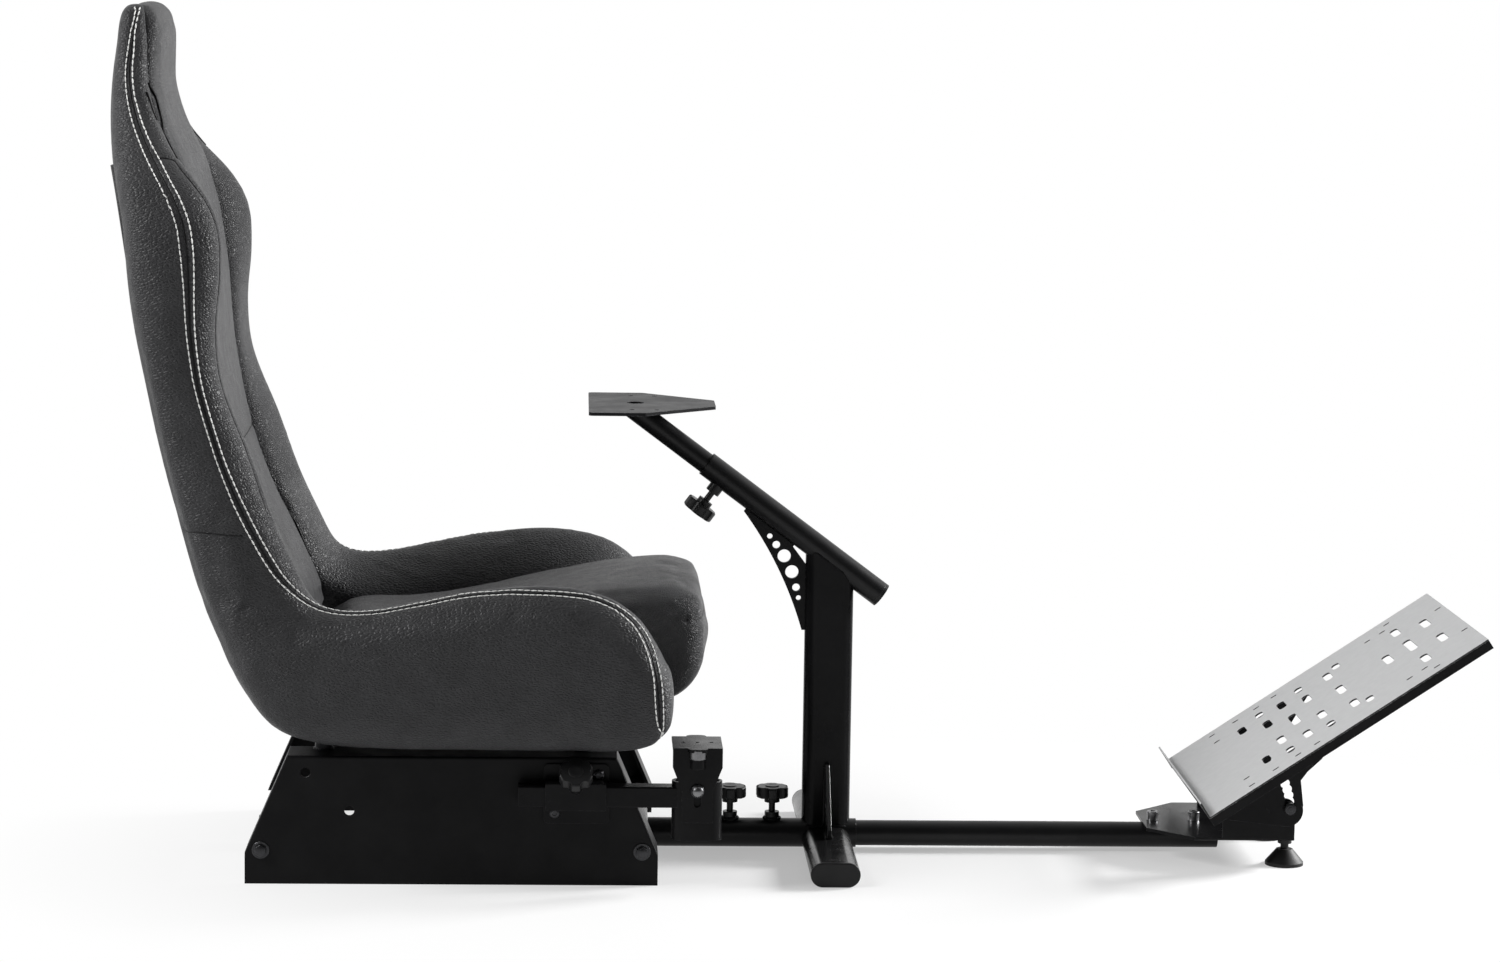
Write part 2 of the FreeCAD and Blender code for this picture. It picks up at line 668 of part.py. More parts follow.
def build_cheek():
    """Right-hand cheek under the deck: pivot hole, lobed nose and a notched slot about the pivot."""
    under = -deck_sheet
    nose_x = pivot_x + tilt_slot_radius - cheek_nose_set_back
    nose_z = pivot_z - cheek_nose_set_down
    rear = deck_point(cheek_rear_along, 0, under)
    front = deck_point(cheek_front_along, 0, under)
    drop_x, drop_z = cheek_front_drop
    points = [(rear.x, rear.z), (front.x, front.z), (front.x - drop_x, front.z - drop_z)]
    points += cheek_hollow
    points += [(nose_x + cheek_lobe_radius, nose_z + cheek_nose_rise), (nose_x, nose_z - cheek_lobe_radius),
               (pivot_x, pivot_z - pivot_lobe_radius), (pivot_x - pivot_lobe_radius, pivot_z)]
    cheek = side_prism(points, -cheek_outer_y, -cheek_inner_y)
    lobes = ((nose_x, nose_z, cheek_lobe_radius), (pivot_x, pivot_z, pivot_lobe_radius))
    for x, z, radius in lobes:
        cheek = cheek.fuse(rod(Vector(x, -cheek_outer_y, z), Y_AXIS, cheek_sheet, 2 * radius))
    hole_diameter = rod_diameter + 2 * rod_clearance
    cut_depth = cheek_sheet + 2 * cut_margin
    start = Vector(pivot_x, -cheek_outer_y - cut_margin, pivot_z)
    cheek = cheek.cut(rod(start, Y_AXIS, cut_depth, hole_diameter))
    ring = rod(start, Y_AXIS, cut_depth, 2 * tilt_slot_radius + hole_diameter)
    ring = ring.cut(rod(start, Y_AXIS, cut_depth, 2 * tilt_slot_radius - hole_diameter))
    reach = 2 * tilt_slot_radius
    wedge = side_prism([(pivot_x, pivot_z), (pivot_x + reach, pivot_z),
                        (pivot_x + reach * math.cos(tilt_travel), pivot_z + reach * math.sin(tilt_travel))],
                       -cheek_outer_y - 2 * cut_margin, -cheek_inner_y + 2 * cut_margin)
    cheek = cheek.cut(ring.common(wedge))
    for index in range(tilt_notches):
        angle = tilt_travel * index / (tilt_notches - 1)
        notch = Vector(pivot_x + tilt_slot_radius * math.cos(angle), -cheek_outer_y - cut_margin,
                       pivot_z + tilt_slot_radius * math.sin(angle))
        cheek = cheek.cut(rod(notch, Y_AXIS, cut_depth, 2 * tilt_notch_radius))
    return cheek.removeSplitter()


def build_deck():
    """Slotted deck sheet with its heel lip, the two side rims and the two cheeks under it."""
    sheet = deck_slab((0, deck_length), (-deck_half_width, deck_half_width), (-deck_sheet, 0))
    lip = deck_slab((0, deck_sheet), (-deck_half_width, deck_half_width), (-deck_sheet, deck_lip_height))
    cutters = []
    for along, offset, length in deck_slots:
        cutters += [deck_cutter(along, across, deck_slot_width, length) for across in both_sides(offset)]
    for along, offset in deck_keys:
        cutters += [deck_cutter(along, across, deck_key_length, deck_key_width)
                    for across in both_sides(offset)]
    export("pedal_deck", sheet.fuse(lip).removeSplitter().cut(cutters))
    rim = deck_slab((0, deck_length), (-deck_half_width, deck_rim_sheet - deck_half_width),
                    (-deck_flange_depth, -deck_sheet))
    export_pair("deck_rim", rim)
    export_pair("deck_cheek", build_cheek())


# Shifter
sleeve_outer = arm_size + 2 * (sleeve_clearance + sleeve_wall)
arm_y = -(base_half_width + clamp_plate_thickness + sleeve_outer / 2)
holder_y = arm_y
clamp_outward = Vector(0, -math.sqrt(0.5), math.sqrt(0.5))
arm_corner_reach = arm_size / 2 * math.sqrt(2)
sleeve_corner_reach = sleeve_outer / 2 * math.sqrt(2)
shifter_knob_stand_off = 8.0


def square_bar(x_range, size):
    """Square bar along the shifter arm's axis."""
    half = size / 2
    return box(x_range, (arm_y - half, arm_y + half), (arm_height - half, arm_height + half))


def build_shifter_clamp():
    """Square sleeve welded to a plate that bolts through two of the base plate's holes."""
    sleeve = square_bar((sleeve_rear_x, sleeve_front_x), sleeve_outer)
    middle_x = (sleeve_rear_x + sleeve_front_x) / 2
    middle = Vector(middle_x, arm_y, arm_height)
    sleeve = sleeve.fuse(rod(middle, clamp_outward, sleeve_corner_reach + clamp_boss_height, boss_diameter))
    bolts = ((base_centre_x + upper_hole_offset, upper_hole_height),
             (base_centre_x + lower_hole_offset, lower_hole_height))
    xs = [x for x, z in bolts]
    zs = [z for x, z in bolts]
    plate_y = -base_half_width - clamp_plate_thickness
    plate = box((min(xs) - clamp_plate_margin, max(xs) + clamp_plate_margin), (plate_y, -base_half_width),
                (min(zs) - clamp_plate_margin, max(zs) + clamp_plate_margin))
    cross_edges = [edge for edge in plate.Edges if abs(edge.tangentAt(0).y) > 0.9]
    plate = plate.makeFillet(clamp_plate_corner, cross_edges)
    for x, z in bolts:
        start = Vector(x, plate_y - cut_margin, z)
        plate = plate.cut(rod(start, Y_AXIS, clamp_plate_thickness + 2 * cut_margin, base_bolt_hole_diameter))
    clamp = sleeve.fuse(plate)
    clamp = clamp.cut(square_bar((sleeve_rear_x, sleeve_front_x), arm_size + 2 * sleeve_clearance))
    clamp = clamp.cut(rod(middle, clamp_outward, sleeve_corner_reach + clamp_boss_height + cut_margin,
                          stem_hole_diameter))
    export("shifter_clamp", clamp.removeSplitter())
    stem_start = arm_corner_reach + stem_clearance
    stem_length = sleeve_corner_reach + shifter_knob_stand_off - stem_start
    export("shifter_knob", placed(knob(stem_length), middle + clamp_outward * stem_start, clamp_outward))


def build_shifter_arm():
    """Square arm welded to a flat-oval holder, and the bolt that carries the bracket."""
    holder_rear = holder_centre_x - oval_length / 2
    arm = square_bar((arm_rear_x, holder_rear + oval_width / 2), arm_size)
    arm = arm.makeFillet(arm_corner_radius, [edge for edge in arm.Edges if abs(edge.tangentAt(0).x) > 0.9])
    arm = arm.cut(square_bar((arm_rear_x, holder_rear + oval_width), arm_size - 2 * arm_wall))
    holder_height = holder_top_z - holder_bottom_z
    place = Vector(holder_centre_x, holder_y, holder_bottom_z)
    outer = oval_bar(oval_length, oval_width, holder_height)
    outer.translate(place)
    inner = oval_bar(oval_length - 2 * holder_wall, oval_width - 2 * holder_wall, holder_height)
    inner.translate(place)
    arm = arm.cut(outer).fuse(outer.cut(inner)).removeSplitter()
    face_y = holder_y - oval_width / 2
    shank_length = holder_wall + shifter_plate_sheet + 2 * stem_clearance
    hole = rod(Vector(holder_centre_x, face_y, shifter_bolt_z), Y_AXIS, holder_wall, stem_diameter)
    export("shifter_arm", arm.cut(hole))
    shank_start = Vector(holder_centre_x, face_y + holder_wall, shifter_bolt_z)
    shank = rod(shank_start, Y_AXIS * -1, shank_length, stem_diameter)
    head_y = face_y + holder_wall - shank_length
    head = rod(Vector(holder_centre_x, head_y, shifter_bolt_z), Y_AXIS * -1, shifter_bolt_head_height,
               shifter_bolt_head_diameter)
    head = head.makeFillet(small_edge_radius, [edge for edge in head.Edges if edge.CenterOfMass.y < head_y - 1
                                 and len(edge.Vertexes) == 1])
    export("shifter_bolt", shank.fuse(head).removeSplitter())


def build_shifter_bracket():
    """Bracket that slides up the holder's face: tapered slotted upright and a top plate for the shifter."""
    back_y = holder_y - oval_width / 2 - stem_clearance
    front_y = back_y - shifter_plate_sheet
    half_top = shifter_plate_length / 2
    half_low = shifter_plate_low_width / 2
    outline = [(half_top, shifter_plate_top_z), (half_top, shifter_shoulder_z), (half_low, shifter_bolt_z),
               (half_low, shifter_plate_bottom_z)]
    right = [(holder_centre_x + x, z) for x, z in outline]
    left = [(holder_centre_x - x, z) for x, z in reversed(outline)]
    upright = side_prism(right + left, front_y, back_y)
    top_span = (shifter_plate_top_z - shifter_plate_sheet, shifter_plate_top_z)
    top = box((holder_centre_x - half_top, holder_centre_x + half_top),
              (front_y, front_y + shifter_plate_depth), top_span)
    tab = box((holder_centre_x - shifter_tab_width / 2, holder_centre_x + shifter_tab_width / 2),
              (front_y - shifter_tab_length, front_y + shifter_plate_depth + shifter_tab_length), top_span)
    tab = tab.makeFillet(shifter_tab_corner, [edge for edge in tab.Edges if abs(edge.tangentAt(0).z) > 0.9])
    bracket = upright.fuse([top, tab]).removeSplitter()
    slot_width = stem_diameter + 2 * stem_clearance
    slot_low = shifter_bolt_z - shifter_slot_travel
    cut_depth = shifter_plate_sheet + 2 * cut_margin
    slot = box((holder_centre_x - slot_width / 2, holder_centre_x + slot_width / 2),
               (front_y - cut_margin, back_y + cut_margin), (slot_low, shifter_bolt_z))
    bracket = bracket.cut(slot)
    for z in (slot_low, shifter_bolt_z):
        start = Vector(holder_centre_x, front_y - cut_margin, z)
        bracket = bracket.cut(rod(start, Y_AXIS, cut_depth, slot_width))
    for step in (-1, 0, 1):
        centre = Vector(holder_centre_x + step * shifter_hole_spacing, front_y + shifter_plate_depth / 2,
                        shifter_plate_top_z - shifter_plate_sheet - cut_margin)
        bracket = bracket.cut(rod(centre, Z_AXIS, cut_depth, shifter_hole_diameter))
    export("shifter_bracket", bracket)


# Bucket seat. Sections run up the backrest: height, rear X, front X of the wing and of the middle pad,
# outer and inner half width of the wing.
back_sections = ((330, -737, -575, -655, 276, 172), (420, -765, -664, -700, 268, 168),
                 (520, -793, -704, -733, 260, 162), (640, -818, -736, -753, 257, 158),
                 (770, -838, -735, -766, 255, 150), (850, -856, -770, -787, 212, 134),
                 (905, -866, -806, -810, 164, 112))
wing_bottom_z = back_sections[0][0]
wing_top_z = back_sections[-1][0]
pad_bottom_z = 284.0
pad_bottom_front_x = -636.0
rear_board_bottom = (236, -687, 268)

# Headrest sections: height, rear X, front X, half width, corner radius
headrest_sections = ((wing_top_z, -866, -806, 162, 20), (950, -867, -816, 143, 18),
                     (1000, -862, -819, 126, 16), (1032, -855, -824, 106, 12), (1046, -848, -832, 86, 6))


def ring_section(x_low, x_high, y_low, y_high, z, corner):
    """Closed rounded outline in a level plane, for a loft."""
    radius = min(corner, 0.48 * (x_high - x_low), 0.48 * (y_high - y_low))
    turns = ((x_low, y_low, 1, 1), (x_high, y_low, -1, 1), (x_high, y_high, -1, -1), (x_low, y_high, 1, -1))
    edges = []
    inset = radius * (1 - math.sqrt(0.5))
    starts = []
    for index, (x, y, x_in, y_in) in enumerate(turns):
        along_y = Vector(x, y + y_in * radius, z)
        along_x = Vector(x + x_in * radius, y, z)
        first, last = (along_y, along_x) if index % 2 == 0 else (along_x, along_y)
        middle = Vector(x + x_in * inset, y + y_in * inset, z)
        starts.append((first, middle, last))
    for index, (first, middle, last) in enumerate(starts):
        edges.append(Part.Arc(first, middle, last).toShape())
        following = starts[(index + 1) % 4][0]
        edges.append(Part.makeLine(last, following))
    return Part.Wire(edges)


def loft(sections):
    """Smooth solid through a stack of closed outlines."""
    return Part.makeLoft(sections, True, False)


# Thigh bolsters, rear to front: X and Z of the lower edge, X and Z of the crest, outer and inner half width
bolster_sections = ((-676, 214, -734, 326, 268, 176), (-650, 188, -690, 327, 276, 174),
                    (-580, 168, -600, 327, 280, 172), (-450, 166, -450, 358, 280, 172),
                    (-350, 166, -350, 369, 280, 174), (-270, 170, -262, 352, 278, 180),
                    (-222, 182, -206, 300, 270, 186), (-206, 204, -192, 262, 262, 194))

# Centre cushion in the same order, with its half width and corner radius
cushion_sections = ((-664, 212, -690, 284, 174, 12), (-600, 180, -610, 290, 176, 12),
                    (-450, 171, -450, 305, 176, 12), (-300, 171, -300, 336, 176, 14),
                    (-222, 186, -212, 345, 176, 24), (-178, 214, -166, 320, 166, 30), (-160, 240, -154, 288, 150, 20))


def slanted_section(low_x, low_z, high_x, high_z, y_low, y_high, corner):
    """Closed rounded outline in a plane across the seat, from its lower edge to its crest."""
    rise = math.hypot(high_x - low_x, high_z - low_z)
    slant = math.degrees(math.atan2(high_z - low_z, high_x - low_x))
    flat = ring_section(0, rise, y_low, y_high, 0, corner)
    flat.Placement = Placement(Vector(low_x, 0, low_z), Rotation(Y_AXIS, -slant))
    return flat


def build_seat():
    """Steel pan, two thigh bolsters, cushion, two back wings, centre pad, headrest and the board behind."""
    pan = box((seat_pan_rear_x, seat_pan_front_x), (-seat_pan_half_width, seat_pan_half_width),
              (seat_bottom_z, seat_bottom_z + seat_pan_thickness))
    export("seat_pan", pan)
    bolster = loft([slanted_section(low_x, low_z, high_x, high_z, -outer, -inner, bolster_corner)
                    for low_x, low_z, high_x, high_z, outer, inner in bolster_sections])
    low_z, low_rear, low_front, low_pad, low_outer, low_inner = back_sections[0]
    crest_z = max(high_z for low_x, low_z, high_x, high_z, outer, inner in bolster_sections)
    wing_room = box((low_rear - low_outer, low_front), (-2 * low_outer, 0),
                    (wing_bottom_z, crest_z + cut_margin))
    bolster = bolster.cut(wing_room).cut(pan)
    export_pair("thigh_bolster", bolster)
    cushion = loft([slanted_section(low_x, low_z, high_x, high_z, -half, half, corner)
                    for low_x, low_z, high_x, high_z, half, corner in cushion_sections])
    cushion = cushion.cut([pan, bolster, mirrored(bolster)])
    export("seat_cushion", cushion)
    wing = loft([ring_section(rear, front, -outer, -inner, z, wing_corner)
                 for z, rear, front, pad_front, outer, inner in back_sections])
    export_pair("back_wing", wing)
    pad_sections = [ring_section(low_rear + 5 * pad_rear_inset, pad_bottom_front_x, -low_inner, low_inner,
                                 pad_bottom_z, pad_corner)]
    for z, rear, front, pad_front, outer, inner in back_sections:
        half = inner + pad_overlap
        pad_sections.append(ring_section(rear + pad_rear_inset, pad_front, -half, half, z, pad_corner))
    pad = loft(pad_sections)
    pad = pad.cut([cushion, bolster, mirrored(bolster), wing, mirrored(wing)])
    export("backrest", pad)
    head = loft([ring_section(rear, front, -half, half, z, corner)
                 for z, rear, front, half, corner in headrest_sections])
    export("headrest", head)
    rear_line = [rear_board_bottom]
    rear_line += [(z, rear, outer) for z, rear, front, pad_front, outer, inner in back_sections[:-1]]
    board_sections = []
    for z, rear, outer in rear_line:
        half = outer - rear_board_inset
        board_sections.append(ring_section(rear - rear_board_thickness, rear + rear_board_bite, -half, half, z,
                                           rear_board_corner))
    board = loft(board_sections)
    board = board.cut([pad, cushion, bolster, mirrored(bolster), wing, mirrored(wing)])
    export("rear_board", board)


build_rail()
build_rail_knobs()
build_base()
build_foot()
build_post()
build_foot_gusset()
build_post_gusset()
build_column()
build_wheel_mount()
build_pedal_carrier()
export("pivot_rod", cross_rod(pivot_x))
export("tilt_rod", cross_rod(pivot_x + tilt_slot_radius))
build_deck()
build_shifter_clamp()
build_shifter_arm()
build_shifter_bracket()
build_seat()
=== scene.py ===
"""Studio scene of a racing-simulator rig: finishes for its steelwork, a sewn seat and its small hardware."""

import json
import logging
import math
from dataclasses import dataclass
from enum import Enum
from typing import Iterable, Sequence

import bmesh
import bpy
from mathutils import Matrix, Vector, kdtree

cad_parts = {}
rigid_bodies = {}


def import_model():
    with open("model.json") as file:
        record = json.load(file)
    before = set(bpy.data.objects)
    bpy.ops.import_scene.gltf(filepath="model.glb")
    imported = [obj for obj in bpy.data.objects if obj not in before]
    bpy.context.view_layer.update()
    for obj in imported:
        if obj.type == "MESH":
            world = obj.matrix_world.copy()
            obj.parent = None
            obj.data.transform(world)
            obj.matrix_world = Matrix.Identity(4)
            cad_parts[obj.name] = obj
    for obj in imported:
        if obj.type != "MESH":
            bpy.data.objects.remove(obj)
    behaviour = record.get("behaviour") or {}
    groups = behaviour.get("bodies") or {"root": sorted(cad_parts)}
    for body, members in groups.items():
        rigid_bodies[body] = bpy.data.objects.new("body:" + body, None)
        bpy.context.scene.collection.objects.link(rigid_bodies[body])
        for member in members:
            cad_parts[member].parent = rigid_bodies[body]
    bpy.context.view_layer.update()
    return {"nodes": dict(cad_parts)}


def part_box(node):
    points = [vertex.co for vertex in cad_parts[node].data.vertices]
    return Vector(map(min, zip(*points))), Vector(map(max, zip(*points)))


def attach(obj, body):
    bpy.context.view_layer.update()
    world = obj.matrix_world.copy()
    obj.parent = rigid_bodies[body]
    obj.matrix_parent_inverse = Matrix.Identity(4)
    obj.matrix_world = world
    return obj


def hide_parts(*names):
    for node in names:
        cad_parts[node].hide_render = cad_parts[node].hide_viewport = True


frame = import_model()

MM = 0.001
LOG = logging.getLogger("rig")

UP = Vector((0, 0, 1))
BACKWARD = Vector((-1, 0, 0))
DRIVER_RIGHT = Vector((0, -1, 0))
SHARP_ANGLE = math.radians(38)
RAIL_BOSS_XS = (-119.4, -66.9)
FOLD_SHADE_SIDES = 6
GROOVE_WIDTH = 4.0 * MM

Colour = tuple[float, float, float]
Flat = tuple[float, float]
Spot = tuple[float, float, float]
Socket = bpy.types.NodeSocket
Piece = bpy.types.Object
Mesh = bmesh.types.BMesh


class Grain(Enum):
    """The fine relief that a finish carries."""

    PEEL = "powder coat's orange peel"
    PEBBLE = "pebbled leather"
    SPARK = "spark-eroded plastic"
    BRUSHED = "drawn metal"
    TWIST = "twisted thread"


class Slot(Enum):
    """Material slots of the record; the scene's own pieces are not put in them."""

    COAT = "black_coat"
    FASTENER = "dark_fastener"
    PLASTIC = "black_plastic"
    COVER = "seat_cover"


class Graph:
    """Node graph of one material or of the world, with short calls that add and join nodes."""

    def __init__(self, tree: bpy.types.NodeTree) -> None:
        """Empty a node tree and take it over."""
        self.tree = tree
        self.tree.nodes.clear()

    def feed(self, value: object, socket: Socket) -> None:
        """Link an output to an input, or set the input to a plain value.

        Args:
            value: the output, number, vector or colour.
            socket: the input.
        """
        if isinstance(value, Socket):
            self.tree.links.new(value, socket)
        else:
            socket.default_value = value

    def add(self, kind: str, **values: object) -> bpy.types.Node:
        """Add a node.

        Args:
            kind: the node's type after "ShaderNode".
            values: properties by name, or what feeds an input by the input's name, with _ for a space.

        Returns:
            The new node.
        """
        node = self.tree.nodes.new("ShaderNode" + kind)
        for key, value in values.items():
            if hasattr(node, key):
                setattr(node, key, value)
            else:
                self.feed(value, node.inputs[key.replace("_", " ")])
        return node

    def noise(self, place: Socket, size: float, detail: float) -> Socket:
        """Noise of about the given feature size in metres.

        Args:
            place: the coordinates it reads.
            size: feature size.
            detail: octaves.

        Returns:
            The value between 0 and 1.
        """
        return self.add("TexNoise", Vector=place, Scale=1.0 / size, Detail=detail, Roughness=0.55).outputs["Fac"]

    def ranged(self, value: Socket, low: float, high: float, new_low: float = 0.0,
               new_high: float = 1.0) -> Socket:
        """Map a value from one range to another, clamped.

        Args:
            value: what is mapped.
            low: start of the old range.
            high: end of the old range.
            new_low: start of the new range.
            new_high: end of the new range.

        Returns:
            The mapped value.
        """
        node = self.add("MapRange", Value=value, From_Min=low, From_Max=high, To_Min=new_low, To_Max=new_high)
        return node.outputs["Result"]

    def mixed(self, share: Socket, first: object, second: object) -> Socket:
        """Mix two colours.

        Args:
            share: weight of the second colour.
            first: a colour or an output.
            second: a colour or an output.

        Returns:
            The mixed colour.
        """
        node = self.add("Mix", data_type="RGBA", Factor=share)
        sockets = [socket for socket in node.inputs if socket.type == "RGBA"]
        for value, socket in zip((first, second), sockets):
            self.feed(value if isinstance(value, Socket) else (*value, 1.0), socket)
        return next(socket for socket in node.outputs if socket.type == "RGBA")

    def maths(self, operation: str, *values: object, kind: str = "Math", out: str = "Value") -> Socket:
        """Combine values.

        Args:
            operation: the node's operation.
            values: numbers, vectors or outputs, in the order of the node's inputs.
            kind: "Math" for numbers or "VectorMath" for vectors.
            out: name of the output that is read.

        Returns:
            The result.
        """
        node = self.add(kind, operation=operation)
        for value, socket in zip(values, node.inputs):
            self.feed(value, socket)
        return node.outputs[out]


def new_material(name: str) -> tuple[bpy.types.Material, Graph]:
    """A new material and its empty graph.

    Args:
        name: the material's name.

    Returns:
        The material, and the graph to fill.
    """
    material = bpy.data.materials.new(name)
    material.use_nodes = True
    return material, Graph(material.node_tree)


@dataclass(frozen=True)
class Finish:
    """A surface finish: two mottled colours, a roughness that wanders, a relief and worn edges."""

    name: str
    colour: Colour
    mottle: Colour
    roughness: float
    swing: float
    grain: Grain
    grain_size: float
    grain_depth: float
    metallic: float = 0.0
    specular: float = 0.5
    edge_radius: float = 0.0
    edge_colour: Colour = (0.2, 0.2, 0.2)
    mottle_size: float = 0.05
    sheen: float = 0.0
    stretch: float = 1.0
    top: tuple[float, float, float] | None = None
    underside: Colour = (0.008, 0.008, 0.0085)

    def relief(self, graph: Graph, place: Socket) -> Socket:
        """Height of the fine relief.

        Args:
            graph: the material's graph.
            place: the coordinates it reads.

        Returns:
            The height, about 0 to 1.
        """
        if self.grain is Grain.PEBBLE:
            size = self.grain_size
            place = graph.add("Mapping", Vector=place, Scale=(1.0 / self.stretch, 1.0, 1.0)).outputs["Vector"]
            bend = graph.add("TexNoise", Vector=place, Scale=0.35 / size, Detail=2.0)
            warp = graph.add("VectorMath", operation="SCALE", Vector=bend.outputs["Color"], Scale=0.5 * size)
            moved = graph.maths("ADD", place, warp.outputs["Vector"], kind="VectorMath", out="Vector")
            cells = graph.add("TexVoronoi", feature="DISTANCE_TO_EDGE", Vector=moved, Scale=1.0 / size)
            pebbles = graph.ranged(cells.outputs["Distance"], 0.0, 0.28)
            folds = graph.noise(place, 14 * size, 4.0)
            return graph.maths("ADD", pebbles, graph.maths("MULTIPLY", folds, 2.2))
        if self.grain is Grain.BRUSHED:
            lines = graph.add("Mapping", Vector=place, Scale=(0.06, 1.0, 1.0)).outputs["Vector"]
            return graph.noise(lines, self.grain_size, 4.0)
        if self.grain is Grain.TWIST:
            return graph.add("TexWave", Vector=place, Scale=0.32 / self.grain_size, Distortion=1.5).outputs["Fac"]
        fine = graph.noise(place, self.grain_size, 2.0)
        coarse = graph.noise(place, 4.5 * self.grain_size, 2.0)
        share = 0.7 if self.grain is Grain.PEEL else 0.25
        return graph.maths("ADD", fine, graph.maths("MULTIPLY", coarse, share))

    def material(self) -> bpy.types.Material:
        """The finish as a material, made once and then shared."""
        made = bpy.data.materials.get(self.name)
        return made if made else self.make()

    def make(self) -> bpy.types.Material:
        """Build the node graph.

        Returns:
            The new material.
        """
        material, graph = new_material(self.name)
        place = graph.add("TexCoord").outputs["Object"]
        patches = graph.ranged(graph.noise(place, self.mottle_size, 5.0), 0.35, 0.65)
        colour = graph.mixed(patches, self.colour, self.mottle)
        wander = graph.noise(place, 0.6 * self.mottle_size, 4.0)
        rough = graph.ranged(wander, 0.3, 0.7, self.roughness - self.swing, self.roughness + self.swing)
        if self.top is not None:
            normal = graph.add("TexCoord").outputs["Normal"]
            upward = graph.maths("DOT_PRODUCT", normal, self.top, kind="VectorMath")
            colour = graph.mixed(graph.ranged(upward, 0.8, 0.95), self.underside, colour)
        bump = graph.add("Bump", Strength=1.0, Distance=self.grain_depth, Height=self.relief(graph, place))
        if self.edge_radius > 0.0:
            bevel = graph.add("Bevel", samples=4, Radius=self.edge_radius).outputs["Normal"]
            plain = graph.add("NewGeometry").outputs["Normal"]
            bent = graph.ranged(graph.maths("DOT_PRODUCT", bevel, plain, kind="VectorMath"), 0.99, 0.8)
            scuff = graph.ranged(graph.noise(place, 0.006, 4.0), 0.42, 0.62, 0.1, 0.75)
            colour = graph.mixed(graph.maths("MULTIPLY", bent, scuff), colour, self.edge_colour)
            graph.feed(bevel, bump.inputs["Normal"])
        shader = graph.add("BsdfPrincipled", Base_Color=colour, Roughness=rough, Normal=bump.outputs["Normal"],
                           Metallic=self.metallic, Specular_IOR_Level=self.specular, Sheen_Weight=self.sheen)
        graph.add("OutputMaterial", Surface=shader.outputs["BSDF"])
        return material


def grey(level: float, blue: float = 0.0005) -> Colour:
    """A grey that leans a little to blue.

    Args:
        level: its red and green.
        blue: how much more blue it has.

    Returns:
        The colour.
    """
    return level, level, level + blue


DECK_SLOPE = math.radians(33.7)
COAT = Finish("black_powder_coat", grey(0.006), grey(0.009), 0.24, 0.05, Grain.PEEL, 0.0011, 0.00006,
              specular=0.08, edge_radius=0.0012, edge_colour=grey(0.07, 0.003))
FOOT_COAT = Finish("bright_powder_coat", grey(0.007), grey(0.01), 0.24, 0.05, Grain.PEEL, 0.0011, 0.00005,
                   specular=0.5, edge_radius=0.0012, edge_colour=grey(0.08, 0.003))
TUBE_COAT = Finish("tube_powder_coat", grey(0.008), grey(0.011), 0.34, 0.05, Grain.PEEL, 0.0011, 0.00005,
                   specular=0.22, edge_radius=0.0012, edge_colour=grey(0.07, 0.003))
PLATE_COAT = Finish("matt_powder_coat", grey(0.006), grey(0.009), 0.4, 0.05, Grain.PEEL, 0.0012, 0.00008,
                    specular=0.1, edge_radius=0.0012, edge_colour=grey(0.06, 0.003))
WHEEL_COAT = Finish("grey_powder_coat", grey(0.01, 0.001), grey(0.015, 0.001), 0.4, 0.05, Grain.PEEL, 0.0011,
                    0.00006, specular=0.07, edge_radius=0.001, edge_colour=grey(0.3, 0.01))
DECK_PAINT = Finish("deck_grey_paint", (0.66, 0.665, 0.67), (0.69, 0.695, 0.7), 0.45, 0.04, Grain.PEEL, 0.0012,
                    0.00007, edge_radius=0.0009, edge_colour=grey(0.66, 0.01), mottle_size=0.012,
                    top=(-math.sin(DECK_SLOPE), 0.0, math.cos(DECK_SLOPE)))
BLACK_STEEL = Finish("blackened_steel", grey(0.03, 0.002), grey(0.05, 0.003), 0.32, 0.08, Grain.BRUSHED, 0.0009,
                     0.00003, metallic=0.85, edge_radius=0.0006, edge_colour=grey(0.3, 0.01))
STEEL = Finish("dull_steel", grey(0.16, 0.005), grey(0.22, 0.005), 0.3, 0.08, Grain.BRUSHED, 0.0009, 0.00003,
               metallic=1.0, edge_radius=0.0006, edge_colour=grey(0.5, 0.0), mottle_size=0.012)
ZINC = Finish("zinc_plate", (0.5, 0.51, 0.52), grey(0.62, 0.01), 0.26, 0.08, Grain.BRUSHED, 0.0009, 0.00003,
              metallic=1.0, edge_radius=0.0006, edge_colour=grey(0.8, 0.0), mottle_size=0.012)
PLASTIC = Finish("black_moulding", grey(0.008), grey(0.012), 0.34, 0.06, Grain.SPARK, 0.0006, 0.00006,
                 specular=0.22, edge_radius=0.0008, edge_colour=grey(0.06, 0.002))
RUBBER = Finish("foot_rubber", grey(0.012, 0.0), grey(0.019, 0.0), 0.55, 0.08, Grain.SPARK, 0.0009, 0.0001,
                specular=0.3, edge_radius=0.0008, edge_colour=grey(0.07, 0))
BOARD = Finish("grained_board", grey(0.01, 0.001), grey(0.016, 0.001), 0.46, 0.06, Grain.PEBBLE, 0.0018,
               0.00016, specular=0.3, edge_radius=0.001, edge_colour=grey(0.08, 0.0))
LEATHER = Finish("seat_leather", grey(0.031, 0.0015), grey(0.039, 0.002), 0.46, 0.05, Grain.PEBBLE, 0.0031,
                 0.00055, specular=0.26, mottle_size=0.03, stretch=1.8)
INSERT = Finish("insert_leather", grey(0.029, 0.0015), grey(0.036, 0.002), 0.44, 0.05, Grain.PEBBLE, 0.0026,
                0.0006, specular=0.22, mottle_size=0.03)
# Painted shade: near-black finish of the thin bars that stand for the shadow in the bottom of seams and folds.
SEAM_SHADE = Finish("seam_shadow", grey(0.006), grey(0.01), 0.6, 0.05, Grain.SPARK, 0.0008, 0.00005, specular=0.2)
